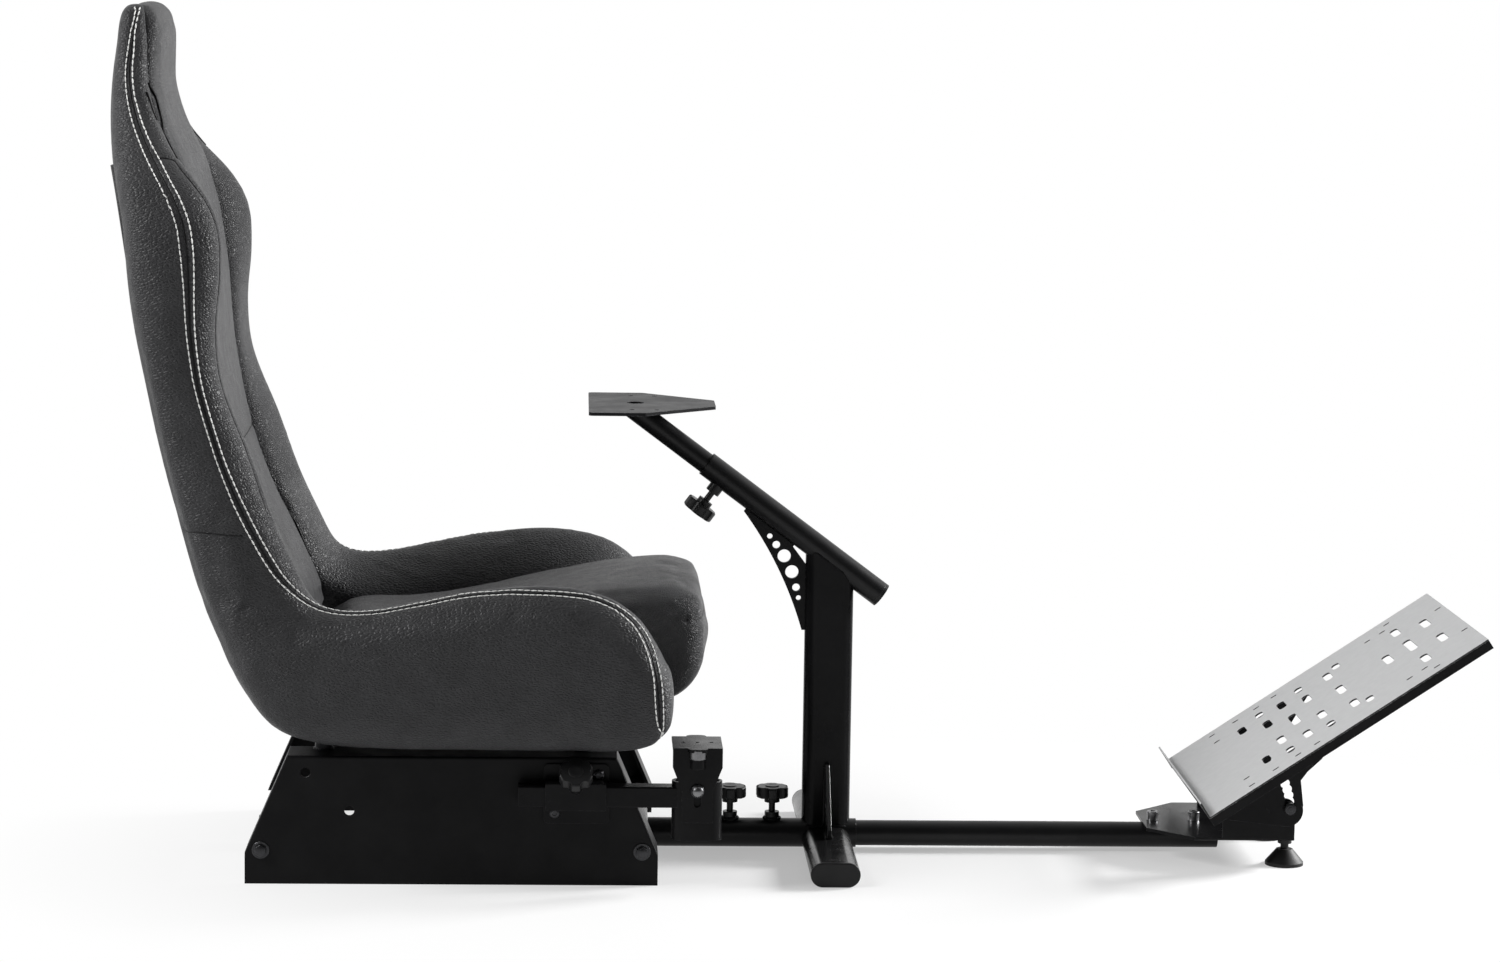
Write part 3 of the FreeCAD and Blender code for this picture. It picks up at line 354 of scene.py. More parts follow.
THREAD = Finish("white_thread", grey(0.82, -0.02), grey(0.9, -0.02), 0.6, 0.08, Grain.TWIST, 0.0006, 0.0001,
                sheen=0.3, mottle_size=0.01)

NODE_FINISHES: dict[str, Finish] = {name: finish for finish, names in (
    (PLATE_COAT, "base_plate_left base_plate_right"),
    (WHEEL_COAT, "wheel_plate"),
    (TUBE_COAT, "column_tube column_slider floor_rail pedal_tube"),
    (FOOT_COAT, "t_foot foot_gusset_left foot_gusset_right"),
    (DECK_PAINT, "pedal_deck"),
    (BLACK_STEEL, "shifter_bolt"),
    (RUBBER, "levelling_foot_left levelling_foot_right"),
    (BOARD, "rear_board"),
    (PLASTIC, "column_end_cap rail_end_cap foot_cap_left foot_cap_right"),
    (PLASTIC, "column_knob rail_knob_front rail_knob_rear shifter_knob"),
) for name in names.split()}


def smooth_row(keys: Sequence[Sequence[float]], per_span: int, closed: bool = False) -> list[list[float]]:
    """Smooth run of numbers through a few keys, as a Catmull-Rom curve.

    Args:
        keys: the keys, each a row of numbers.
        per_span: samples in each span.
        closed: whether the last key joins the first.

    Returns:
        The samples in order.
    """
    count = len(keys)
    rows = []
    for index in range(count if closed else count - 1):
        picks = range(index - 1, index + 3)
        around = [keys[p % count if closed else min(max(p, 0), count - 1)] for p in picks]
        for step in range(per_span):
            t = step / per_span
            rows.append([0.5 * (2 * b + (c - a) * t + (2 * a - 5 * b + 4 * c - d) * t ** 2
                                + (3 * b - a - 3 * c + d) * t ** 3) for a, b, c, d in zip(*around)])
    if not closed:
        rows.append(list(keys[-1]))
    return rows


def facing(position: Vector, direction: Vector, across: Vector | None = None) -> Matrix:
    """Placement that stands a shape modelled up Z on a point.

    Args:
        position: the point, in metres.
        direction: where its Z goes.
        across: where its X should lean, if that matters.

    Returns:
        The matrix.
    """
    up = direction.normalized()
    side = across if across is not None else (Vector((1, 0, 0)) if abs(up.x) < 0.9 else Vector((0, 1, 0)))
    side = (side - up * side.dot(up)).normalized()
    return Matrix.Translation(position) @ Matrix((side, up.cross(side), up)).transposed().to_4x4()


def point(x: float, y: float, z: float) -> Vector:
    """A place given in millimetres."""
    return Vector((x, y, z)) * MM


def loft(mesh: Mesh, loops: Sequence[Sequence[Vector]]) -> None:
    """Skin a row of closed loops and close both ends.

    Args:
        mesh: the mesh that gets the skin.
        loops: the loops in order, each with as many corners as the others.
    """
    rings = []
    for loop in loops:
        verts = [mesh.verts.new(place) for place in loop]
        rings.append([mesh.edges.new(pair) for pair in zip(verts, verts[1:] + verts[:1])])
    for first, second in zip(rings, rings[1:]):
        bmesh.ops.bridge_loops(mesh, edges=first + second)
    bmesh.ops.holes_fill(mesh, edges=rings[0], sides=0)
    bmesh.ops.holes_fill(mesh, edges=rings[-1], sides=0)


def rounded_end(loop: Sequence[Vector], reach: Vector, steps: int = 5) -> list[list[Vector]]:
    """Loops that draw an end in to a soft dome.

    Args:
        loop: the last full loop.
        reach: how far the dome goes past it.
        steps: how many loops make it.

    Returns:
        The loops, from the full one outwards.
    """
    centre = sum(loop, Vector()) / len(loop)
    domed = []
    for step in range(1, steps + 1):
        turn = 0.5 * math.pi * step / (steps + 0.35)
        domed.append([centre + (place - centre) * math.cos(turn) + reach * math.sin(turn) for place in loop])
    return domed


def turned(mesh: Mesh, profile: Sequence[Flat], matrix: Matrix, steps: int = 28) -> None:
    """Lathe-turned body.

    Args:
        mesh: the mesh that gets it.
        profile: radius and height pairs in millimetres, from the axis or an inner edge round to it again.
        matrix: where it stands.
        steps: faces round it.
    """
    verts = [mesh.verts.new(matrix @ point(radius, 0, height)) for radius, height in profile]
    edges = [mesh.edges.new(pair) for pair in zip(verts, verts[1:])]
    if profile[0][0] > 0.0 and profile[-1][0] > 0.0:
        edges.append(mesh.edges.new((verts[-1], verts[0])))
    axis = matrix.to_3x3() @ Vector((0, 0, 1))
    before = len(mesh.verts) - len(verts)
    bmesh.ops.spin(mesh, geom=verts + edges, cent=matrix.translation, axis=axis, dvec=(0, 0, 0),
                   angle=2 * math.pi, steps=steps, use_merge=True)
    mesh.verts.ensure_lookup_table()
    bmesh.ops.remove_doubles(mesh, verts=mesh.verts[before:], dist=0.00001)


def hexagon(mesh: Mesh, across_flats: float, height: float, matrix: Matrix) -> None:
    """Hexagon head or nut with softened rims.

    Args:
        mesh: the mesh that gets it.
        across_flats: spanner size in millimetres.
        height: its height in millimetres.
        matrix: where its underside stands.
    """
    radius = across_flats / math.sqrt(3) * MM
    lift = matrix @ Matrix.Translation((0, 0, 0.5 * height * MM))
    made = bmesh.ops.create_cone(mesh, cap_ends=True, cap_tris=False, segments=6, radius1=radius, radius2=radius,
                                 depth=height * MM, matrix=lift)
    edges = {edge for vert in made["verts"] for edge in vert.link_edges}
    bmesh.ops.bevel(mesh, geom=list(edges), offset=0.06 * across_flats * MM, offset_type="OFFSET", segments=2,
                    profile=0.5, affect="EDGES", material=-1)


def sweep(mesh: Mesh, path: Sequence[Vector], radii: Sequence[float], sides: int = 8) -> None:
    """Round bar along a path.

    Args:
        mesh: the mesh that gets it.
        path: its points in metres.
        radii: its radius at each point in metres.
        sides: faces round it.
    """
    loops = []
    guide = None
    for index, place in enumerate(path):
        ahead = (path[min(index + 1, len(path) - 1)] - path[max(index - 1, 0)]).normalized()
        matrix = facing(place, ahead, guide)
        guide = matrix.to_3x3().col[0].copy()
        corners = [Vector((math.cos(turn), math.sin(turn), 0)) * radii[index]
                   for turn in (2 * math.pi * side / sides for side in range(sides))]
        loops.append([matrix @ corner for corner in corners])
    loft(mesh, loops)


def new_object(name: str, mesh: Mesh, materials: Iterable[bpy.types.Material]) -> Piece:
    """Turn a bmesh into an object of the scene.

    Args:
        name: the object's name.
        mesh: its bmesh, which is freed.
        materials: its materials.

    Returns:
        The new object.
    """
    data = bpy.data.meshes.new(name)
    mesh.to_mesh(data)
    mesh.free()
    for material in materials:
        data.materials.append(material)
    made = bpy.data.objects.new(name, data)
    bpy.context.scene.collection.objects.link(made)
    return made


def finish_piece(name: str, mesh: Mesh, finish: Finish, body: str,
                 soft: bool = False) -> Piece:
    """Turn a bmesh into a dressed piece that rides on its body.

    Args:
        name: the piece's name.
        mesh: its bmesh, which is freed.
        finish: its finish.
        body: the CAD body that carries it.
        soft: whether every edge is shaded smooth.

    Returns:
        The new object.
    """
    bmesh.ops.recalc_face_normals(mesh, faces=mesh.faces[:])
    piece = new_object(name, mesh, [finish.material()])
    piece.data.shade_smooth()
    if not soft:
        piece.data.set_sharp_from_angle(angle=SHARP_ANGLE)
    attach(piece, body)
    LOG.info("%s on %s, %d faces", name, body, len(piece.data.polygons))
    return piece


def turned_piece(name: str, profile: Sequence[Flat], stands: Iterable[Matrix], finish: Finish, body: str,
                 steps: int = 28) -> None:
    """Lathe-turned piece, in one place or in several.

    Args:
        name: the piece's name.
        profile: radius and height pairs in millimetres.
        stands: where it stands.
        finish: its finish.
        body: the CAD body that carries it.
        steps: faces round it.
    """
    mesh = bmesh.new()
    for stand in stands:
        turned(mesh, profile, stand, steps)
    finish_piece(name, mesh, finish, body)


def cover_piece(name: str, mesh: Mesh, finish: Finish) -> Piece:
    """Soft piece of the seat's cover.

    Args:
        name: the piece's name.
        mesh: its bmesh, which is freed.
        finish: its finish.

    Returns:
        The new object.
    """
    return finish_piece(name, mesh, finish, "frame", soft=True)


def painted_fold_shade(name: str, line: Sequence[Vector], start: float, end: float, power: float = 1.0) -> Piece:
    """Thin dark bar in the bottom of a seam or fold: painted shade that stands for its shadow.

    Args:
        name: the piece's name.
        line: its places in metres.
        start: its radius at the first place, in millimetres.
        end: its radius at the last place, in millimetres.
        power: how the radius runs between them, 1 for evenly.

    Returns:
        The new object.
    """
    last = len(line) - 1
    mesh = bmesh.new()
    radii = [(start + (end - start) * (step / last) ** power) * MM for step in range(last + 1)]
    sweep(mesh, line, radii, FOLD_SHADE_SIDES)
    return cover_piece(name, mesh, SEAM_SHADE)


def mirrored_piece(piece: Piece, name: str) -> Piece:
    """The same piece of cover on the driver's left.

    Args:
        piece: the right-hand piece.
        name: the new piece's name.

    Returns:
        The new object.
    """
    mesh = bmesh.new()
    mesh.from_mesh(piece.data)
    bmesh.ops.transform(mesh, matrix=Matrix.Scale(-1, 4, (0, 1, 0)), verts=mesh.verts[:])
    bmesh.ops.reverse_faces(mesh, faces=mesh.faces[:])
    twin = new_object(name, mesh, piece.data.materials)
    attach(twin, "frame")
    LOG.info("%s, mirrored", name)
    return twin


def drawn(piece: Piece) -> bpy.types.Mesh:
    """New mesh of an object with its modifiers applied."""
    return bpy.data.meshes.new_from_object(piece.evaluated_get(bpy.context.evaluated_depsgraph_get()))


@dataclass(frozen=True)
class Swelling:
    """How a foam form is blown up against its cover."""

    voxel: float = 0.006
    pressure: float = 4.0
    cap: float = 0.006
    frames: int = 20

    def run(self, piece: Piece) -> None:
        """Swell a piece by a cloth simulation and keep the result in its mesh.

        Args:
            piece: the soft piece.
        """
        scene = bpy.context.scene
        form = bpy.data.objects.new(piece.name + "_form", piece.data.copy())
        scene.collection.objects.link(form)
        remesh = form.modifiers.new("even", "REMESH")
        remesh.mode = "VOXEL"
        remesh.voxel_size = self.voxel
        start = drawn(form)
        form.modifiers.clear()
        form.data = start
        cloth = form.modifiers.new("cover", "CLOTH")
        cloth.settings.use_pressure = True
        cloth.settings.uniform_pressure_force = self.pressure
        cloth.settings.effector_weights.gravity = 0.0
        cloth.point_cache.frame_end = self.frames
        for step in range(1, self.frames + 1):
            scene.frame_set(step)
        blown = drawn(form)
        for vert, rest in zip(blown.vertices, start.vertices):
            move = vert.co - rest.co
            if move.length > self.cap:
                vert.co = rest.co + move.normalized() * self.cap
        scene.frame_set(1)
        bpy.data.objects.remove(form)
        mesh = bmesh.new()
        mesh.from_mesh(blown)
        bmesh.ops.smooth_vert(mesh, verts=mesh.verts[:], factor=0.5, use_axis_x=True, use_axis_y=True,
                              use_axis_z=True)
        mesh.to_mesh(piece.data)
        mesh.free()
        finer = piece.modifiers.new("finer", "SUBSURF")
        finer.levels = finer.render_levels = 1
        finest = drawn(piece)
        piece.modifiers.clear()
        piece.data = finest
        piece.data.shade_smooth()


def press_seams(piece: Piece, paths: Sequence[Sequence[Vector]], depth: float, width: float) -> None:
    """Pull a soft surface in along its sewn lines.

    Args:
        piece: the soft piece.
        paths: the lines' points in metres.
        depth: how far the line is pulled in.
        width: half width of the groove.
    """
    places = [place for path in paths for place in path]
    tree = kdtree.KDTree(len(places))
    for index, place in enumerate(places):
        tree.insert(place, index)
    tree.balance()
    normals = [vert.normal.copy() for vert in piece.data.vertices]
    for vert, normal in zip(piece.data.vertices, normals):
        gap = tree.find(vert.co)[2]
        if gap < 3 * width:
            vert.co -= normal * depth * math.exp(-(gap / width) ** 2)


@dataclass
class SeatSide:
    """Right-hand roll of the seat, in one run from headrest to knee, in millimetres.

    A station is one cut across the roll: X and Z of its rear, crest and inner edge, then how far its outer and
    inner faces lie from the middle of the seat.
    """

    stations: tuple[tuple[float, ...], ...] = (
        (-857, 1031, -828, 1030, -828, 1030, 112, 60), (-860, 1014, -825, 1013, -825, 1013, 120, 74),
        (-861, 994, -823, 993, -823, 993, 128, 84), (-866, 950, -822, 950, -821, 950, 142, 96),
        (-867, 906, -812, 908, -812, 904, 160, 110), (-862, 868, -789, 866, -794, 866, 192, 128),
        (-852, 828, -754, 822, -776, 822, 229, 146), (-843, 788, -735, 779, -764, 786, 246, 150),
        (-836, 714, -733, 724, -753, 722, 253, 150), (-828, 662, -738, 664, -749, 664, 256, 150),
        (-817, 609, -731, 598, -743, 600, 258, 150), (-798, 520, -700, 520, -725, 520, 260, 152),
        (-778, 446, -674, 448, -700, 450, 264, 154), (-752, 356, -648, 392, -668, 385, 268, 157),
        (-728, 297, -624, 350, -640, 330, 272, 160), (-700, 238, -590, 338, -606, 300, 275, 163),
        (-655, 188, -545, 341, -560, 290, 278, 165), (-560, 172, -492, 352, -500, 290, 280, 166),
        (-440, 170, -424, 364, -436, 298, 280, 166), (-345, 170, -345, 369, -345, 302, 280, 166),
        (-280, 170, -280, 357, -280, 298, 280, 166), (-240, 173, -240, 332, -241, 286, 279, 167),
        (-217, 180, -217, 300, -217, 268, 276, 171), (-204, 193, -204, 272, -204, 256, 270, 179),
    )
    outer_row: tuple[Spot, ...] = (
        (-842, -97, 1036), (-845, -110, 1013), (-847, -126, 987), (-849, -138, 958), (-846, -150, 930),
        (-839, -165, 904), (-829, -183, 880), (-818, -201, 858), (-805, -219, 836), (-791, -234, 812),
        (-780, -244, 785), (-775, -249, 755), (-772, -251, 724), (-770, -252, 693), (-768, -253, 662),
        (-764, -254, 631), (-759, -254, 600), (-751, -256, 570), (-742, -257, 541), (-732, -259, 511),
        (-721, -260, 482), (-709, -261, 453), (-695, -261, 426), (-680, -261, 399), (-662, -260, 373),
        (-639, -256, 352), (-612, -252, 339), (-581, -252, 333), (-550, -254, 334), (-520, -255, 339),
        (-489, -256, 345), (-459, -255, 351), (-428, -255, 356), (-397, -256, 358), (-366, -259, 359),
        (-335, -259, 357), (-304, -258, 353), (-275, -259, 343), (-250, -262, 325), (-233, -269, 300),
        (-224, -275, 271), (-220, -277, 240), (-218, -274, 210), (-215, -254, 187),
    )
    inner_row: tuple[Spot, ...] = (
        (-836, -96, 1036), (-839, -110, 1013), (-840, -126, 987), (-841, -139, 959), (-837, -151, 930),
        (-828, -165, 904), (-817, -182, 881), (-803, -200, 859), (-790, -218, 837), (-776, -233, 814),
        (-765, -243, 787), (-760, -248, 756), (-759, -250, 725), (-759, -251, 694), (-758, -252, 663),
        (-755, -252, 632), (-750, -253, 601), (-742, -254, 571), (-733, -256, 542), (-723, -257, 512),
        (-711, -258, 483), (-698, -258, 455), (-684, -258, 427), (-669, -257, 400), (-652, -255, 374),
        (-630, -248, 353), (-603, -240, 340), (-573, -243, 336), (-542, -247, 338), (-512, -249, 344),
        (-481, -249, 350), (-451, -247, 356), (-420, -248, 360), (-389, -251, 363), (-358, -253, 362),
        (-327, -253, 361), (-296, -252, 357), (-267, -252, 345), (-242, -254, 327), (-225, -259, 302),
        (-216, -268, 274), (-211, -273, 243), (-210, -271, 212), (-214, -254, 187),
    )
    stitch_length: float = 7.6
    stitch_pitch: float = 7.0
    thread_radius: float = 0.8
    seam_depth: float = 1.6
    fold_step: float = 3.0
    fold_shade_tip: float = 0.6
    side_seam: tuple[Spot, ...] = ((-771, -244, 429), (-746, -262, 429), (-722, -264, 427), (-700, -262, 426))
    shoulder: tuple[Spot, ...] = (
        (-803, -200, 864), (-796, -194, 861), (-786, -189, 857), (-777, -197, 847), (-764, -206, 829),
        (-750, -212, 806), (-741, -217, 782), (-736, -221, 750), (-735, -223, 715), (-739, -225, 665),
        (-735, -226, 620), (-722, -228, 570), (-706, -230, 520), (-690, -233, 475), (-677, -236, 440),
    )
    head_fold_and_shade: tuple[Spot, ...] = (
        (-823, -128, 945), (-819, -125, 937), (-814, -123, 924), (-810, -127, 910), (-806, -136, 893),
        (-795, -160, 874), (-785, -178, 859),
    )
    short_fold_and_shade: tuple[Spot, ...] = ((-824, -140, 935), (-819, -143, 921), (-811, -148, 903))
    lining_edge: tuple[Flat, ...] = (
        (1040, 60), (870, 172), (845, 196), (806, 212), (750, 221), (620, 226), (430, 236),
    )
    lining_low_z: float = 436.0
    lining_rear: Flat = (-828.0, 850.0)
    lining_lean: float = 0.28

    def section(self, row: Sequence[float]) -> list[Vector]:
        """Closed outline of one cut.

        Args:
            row: numbers of a station.

        Returns:
            Its corners, in metres, on the driver's right.
        """
        rear, crest, inner = Vector(row[0:2]), Vector(row[2:4]), Vector(row[4:6])
        outer_y, inner_y = row[6], row[7]
        roll = min(38.0, 0.42 * (outer_y - inner_y))
        top_y = outer_y - roll
        keys = [
            (rear.lerp(crest, 0.03), inner_y + 1), (rear, 0.5 * (outer_y + inner_y)), (rear, outer_y - 24),
            (rear.lerp(crest, 0.05), outer_y - 7), (rear.lerp(crest, 0.2), outer_y - 1),
            (rear.lerp(crest, 0.45), outer_y), (rear.lerp(crest, 0.7), outer_y - 1.5),
            (rear.lerp(crest, 0.88), outer_y - 0.24 * roll), (rear.lerp(crest, 0.975), outer_y - 0.6 * roll),
            (crest, top_y), (crest.lerp(inner, 0.22), top_y + 0.34 * (inner_y - top_y)),
            (crest.lerp(inner, 0.62), top_y + 0.72 * (inner_y - top_y)), (inner, inner_y + 5),
            (inner.lerp(rear, 0.14), inner_y), (inner.lerp(rear, 0.5), inner_y),
        ]
        rows = smooth_row([(place.x, -y, place.y) for place, y in keys], 3, closed=True)
        return [point(*corner) for corner in rows]

    def build(self) -> Piece:
        """Loft the roll, blow it up and return the piece."""
        rows = smooth_row(self.stations, 4)
        loops = [self.section(row) for row in rows]
        head = list(reversed(rounded_end(loops[0], point(1, 4, 10))))
        knee = rounded_end(loops[-1], point(10, 2, -2))
        mesh = bmesh.new()
        loft(mesh, head + loops + knee)
        piece = cover_piece("seat_roll_right", mesh, LEATHER)
        Swelling(cap=0.003).run(piece)
        return piece

    def on_surface(self, piece: Piece, line: Sequence[Spot], step: float) -> list[tuple[Vector, Vector]]:
        """Points along a line that is laid on the roll.

        Args:
            piece: the roll.
            line: places in millimetres.
            step: spacing in millimetres.

        Returns:
            Place and normal of each point.
        """
        out: list[tuple[Vector, Vector]] = []
        for spot in smooth_row(line, 24):
            _, place, normal, _ = piece.closest_point_on_mesh(point(*spot))
            if not out or (place - out[-1][0]).length >= step * MM:
                out.append((place.copy(), normal.copy()))
        return out

    def laid(self, piece: Piece, line: Sequence[Spot], step: float) -> list[Vector]:
        """The places alone of a line that is laid on the roll.

        Args:
            piece: the roll.
            line: places in millimetres.
            step: spacing in millimetres.

        Returns:
            The places in metres.
        """
        return [place for place, _ in self.on_surface(piece, line, step)]

    def line_inside(self, piece: Piece) -> None:
        """Give the wing's inner face the smoother leather of the middle panel.

        Args:
            piece: the roll.
        """
        piece.data.materials.append(INSERT.material())
        edge = smooth_row(self.lining_edge, 20)
        for face in piece.data.polygons:
            z, y = face.center.z / MM, -face.center.y / MM
            reach = min(edge, key=lambda pair: abs(pair[0] - z))[1]
            rear = self.lining_rear[0] + self.lining_lean * (self.lining_rear[1] - z)
            if z > self.lining_low_z and y < reach and face.center.x / MM > rear:
                face.material_index = 1

    def stitches(self, rows: Sequence[Sequence[tuple[Vector, Vector]]]) -> Mesh:
        """Thread of the double seam.

        Args:
            rows: places and normals of each row.

        Returns:
            A mesh of short rounded stitches.
        """
        mesh = bmesh.new()
        for line in rows:
            travelled = 0.0
            for (place, normal), (following, _) in zip(line, line[1:]):
                travelled += (following - place).length
                if travelled < self.stitch_pitch * MM:
                    continue
                travelled = 0.0
                along = (following - place).normalized()
                stand = facing(place + normal * 0.35 * MM, along, normal)
                stretch = Matrix.Diagonal((1, 1.15, 0.5 * self.stitch_length / self.thread_radius, 1))
                bmesh.ops.create_uvsphere(mesh, u_segments=6, v_segments=5, radius=self.thread_radius * MM,
                                          matrix=stand @ stretch)
        return mesh

    def fold(self, name: str, piece: Piece, spots: Sequence[Spot], thick: float, depth: float) -> None:
        """Press a plain seam into the roll and lay a dark bar of painted shade in it, on both sides of the seat.

        Args:
            name: the painted shade bar's name, which gets its side.
            piece: the right-hand roll.
            spots: the seam's places in millimetres.
            thick: radius of the painted shade bar at its upper end, in millimetres.
            depth: how far the roll is pulled in.
        """
        press_seams(piece, [self.laid(piece, spots, self.fold_step)], depth * MM, GROOVE_WIDTH)
        # Painted shade: dark bar laid in the pressed seam.
        right = painted_fold_shade(name + "_right", self.laid(piece, spots, self.fold_step), thick, self.fold_shade_tip)
        mirrored_piece(right, name + "_left")

    def dress(self, piece: Piece) -> None:
        """Press the seams in, add the thread and the dark bars of painted shade in the seams, and make the
        left-hand copies.

        Args:
            piece: the roll.
        """
        middle = [tuple(0.5 * (a + b) for a, b in zip(*pair)) for pair in zip(self.outer_row, self.inner_row)]
        press_seams(piece, [self.laid(piece, middle, 2.0)], self.seam_depth * MM, GROOVE_WIDTH)
        rows = [self.on_surface(piece, row, 1.0) for row in (self.outer_row, self.inner_row)]
        thread = cover_piece("seat_thread_right", self.stitches(rows), THREAD)
        # Painted shade: dark bar along the middle of the double seam.
        fold = painted_fold_shade("seat_fold_shade_right", self.laid(piece, middle, 5.0), 1.0, 1.0)
        self.fold("seat_side_seam_shade", piece, self.side_seam, 0.7, 1.2)
        self.fold("seat_wing_seam_shade", piece, self.shoulder, 0.9, 1.5)
        self.line_inside(piece)
        twin = mirrored_piece(piece, "seat_roll_left")
        mirrored_piece(thread, "seat_thread_left")
        mirrored_piece(fold, "seat_fold_shade_left")
        for side, roll in (("right", piece), ("left", twin)):
            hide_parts("back_wing_" + side, "thigh_bolster_" + side)


@dataclass
class SeatMiddle:
    """Middle of the seat: headrest and back panel in one cover, and the loose-fitted cushion."""

    back_rows: tuple[tuple[float, ...], ...] = (
        (1037, -852, -824, 88), (1029, -857, -817, 99), (1016, -860, -815, 107), (1000, -862, -816, 114),
        (975, -865, -817, 123),
        (945, -866, -817, 130), (918, -866, -812, 138), (890, -865, -803, 146), (865, -861, -791, 148),
        (845, -857, -782, 148), (820, -850, -775, 149), (786, -843, -766, 151), (722, -836, -756, 151),
        (662, -828, -751, 151), (605, -817, -745, 151), (520, -799, -728, 153), (448, -780, -704, 155),
        (385, -763, -674, 158), (330, -742, -648, 161), (285, -722, -630, 162),
    )
    cushion_outline: tuple[Flat, ...] = (
        (-640, 262), (-600, 288), (-530, 292), (-457, 302), (-348, 326), (-270, 340), (-215, 346), (-180, 348),
        (-161, 342), (-155, 318), (-153, 285), (-156, 255), (-172, 229), (-200, 215), (-260, 206), (-420, 200),
        (-600, 206),
    )
    cushion_cuts: tuple[Spot, ...] = (
        (0.0, 0, 4), (0.5, 0, 3), (0.86, 1.5, 0), (0.94, 6, -2), (0.985, 15, -4), (1.0, 26, -5),
    )
    cushion_centre: Flat = (-400.0, 262.0)
    board_gap: float = 6.0
    cushion_half_width: float = 163.0
    fold_depth: float = 1.5
    fold_shade_tip: float = 0.7
    front_seam_z: float = 314.0
    cross_seam_z: float = 512.0
    seam_looks: int = 30
    panel_seam_zs: Flat = (335.0, 852.0)

    def back_section(self, row: Sequence[float]) -> list[Vector]:
        """Closed outline of the middle panel at one height.

        Args:
            row: height, rear X, front X and half width.

        Returns:
            Its corners in metres.
        """
        z, rear, front, half = row
        rear += self.board_gap
        depth = front - rear
        edge = min(6.0, 0.3 * depth)
        right = [(rear + 0.5 * depth, half), (front - edge, half), (front - 0.25 * edge, half - 3),
                 (front + 0.8, half - 14), (front + 2.5, 0.55 * half)]
        rear_side = [(rear + 2, 0.55 * half), (rear + 3, half - 8), (rear + 8, half)]
        keys = right + [(front + 3, 0.0)] + [(x, -y) for x, y in reversed(right)]
        keys += [(x, -y) for x, y in reversed(rear_side)] + [(rear, 0.0)] + rear_side
        rows = smooth_row([(x, y, z) for x, y in keys], 3, closed=True)
        return [point(*corner) for corner in rows]

    def build_back(self) -> Piece:
        """Loft the back panel and headrest."""
        loops = [self.back_section(row) for row in smooth_row(self.back_rows, 4)]
        top = list(reversed(rounded_end(loops[0], point(-2, 0, 6))))
        mesh = bmesh.new()
        loft(mesh, top + loops)
        piece = cover_piece("seat_back_panel", mesh, INSERT)
        Swelling(cap=0.003).run(piece)
        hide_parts("backrest", "headrest")
        return piece

    def build_cushion(self) -> Piece:
        """Loft the cushion from side to side, drawn in at both ends."""
        outline = smooth_row(self.cushion_outline, 4, closed=True)
        centre = Vector(self.cushion_centre)
        right = [(-share, inset, crown) for share, inset, crown in reversed(self.cushion_cuts[1:])]
        loops = []
        for share, inset, crown in (*right, *self.cushion_cuts):
            loop = []
            for x, z in outline:
                inward = (centre - Vector((x, z))).normalized() * inset
                lift = crown if z > centre.y else 0
                loop.append(point(x + inward.x, share * self.cushion_half_width, z + inward.y + lift))
            loops.append(loop)
        mesh = bmesh.new()
        loft(mesh, loops)
        piece = cover_piece("seat_cushion_pad", mesh, INSERT)
        Swelling(cap=0.005).run(piece)
        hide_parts("seat_cushion")
        return piece

    def seam(self, name: str, piece: Piece, start_x: float, z: float, half: float) -> None:
        """Pull a seam straight across a piece's front face and lay a dark bar of painted shade in it.

        Args:
            name: name of the painted shade bar.
            piece: the soft piece.
            start_x: where the look from the front starts, in millimetres.
            z: height of the seam in millimetres.
            half: half its length in millimetres.
        """
        count = self.seam_looks
        starts = [point(start_x, half * step / count, z) for step in range(-count, count + 1)]
        hits = [piece.ray_cast(start, BACKWARD) for start in starts]
        line = [hit[1].copy() for hit in hits if hit[0]]
        press_seams(piece, [line], 2.0 * MM, 5.0 * MM)
        # Painted shade: dark bar along the pressed seam.
        painted_fold_shade(name, [piece.closest_point_on_mesh(place)[1].copy() for place in line], 0.9, 0.9)

    def build_folds(self, back: Piece, side: SeatSide, roll: Piece) -> None:
        """Pulled-in folds where the head cover meets the shoulders, each with a dark bar of painted shade in it.

        Args:
            back: the back panel.
            side: the side roll's plan, which says where the folds run.
            roll: the right-hand roll.
        """
        for name, spots, thick in (("head_fold_and_shade", side.head_fold_and_shade, 2.4), ("short_fold_and_shade", side.short_fold_and_shade, 1.5)):
            line = []
            for spot in smooth_row(spots, 8):
                place = point(*spot)
                on_back, on_roll = (piece.closest_point_on_mesh(place)[1] for piece in (back, roll))
                line.append((on_back if on_back.x > on_roll.x else on_roll).copy())
            twin = [Vector((place.x, -place.y, place.z)) for place in line]
            press_seams(roll, [line], self.fold_depth * MM, GROOVE_WIDTH)
            press_seams(back, [line, twin], self.fold_depth * MM, GROOVE_WIDTH)
            # Painted shade: dark bar in the bottom of the fold.
            right = painted_fold_shade(name + "_right", line, thick, self.fold_shade_tip, 0.5)
            mirrored_piece(right, name + "_left")

    def lowest(self, back: Piece, roll: Piece, z: float, edge: float) -> Vector:
        """Bottom of the valley between the middle panel and a side roll.

        Args:
            back: the back panel.
            roll: the side roll.
            z: height in millimetres.
            edge: Y of the panel's edge, in millimetres.

        Returns:
            The place.
        """
        found: list[Vector] = []
        for step in range(-6, 11):
            start = point(-400, edge + math.copysign(step, edge), z)
            hits = [piece.ray_cast(start, BACKWARD) for piece in (back, roll)]
            places = [hit[1] for hit in hits if hit[0]]
            if places:
                found.append(max(places, key=lambda place: place.x).copy())
        return min(found, key=lambda place: place.x) if found else point(-760, edge, z)

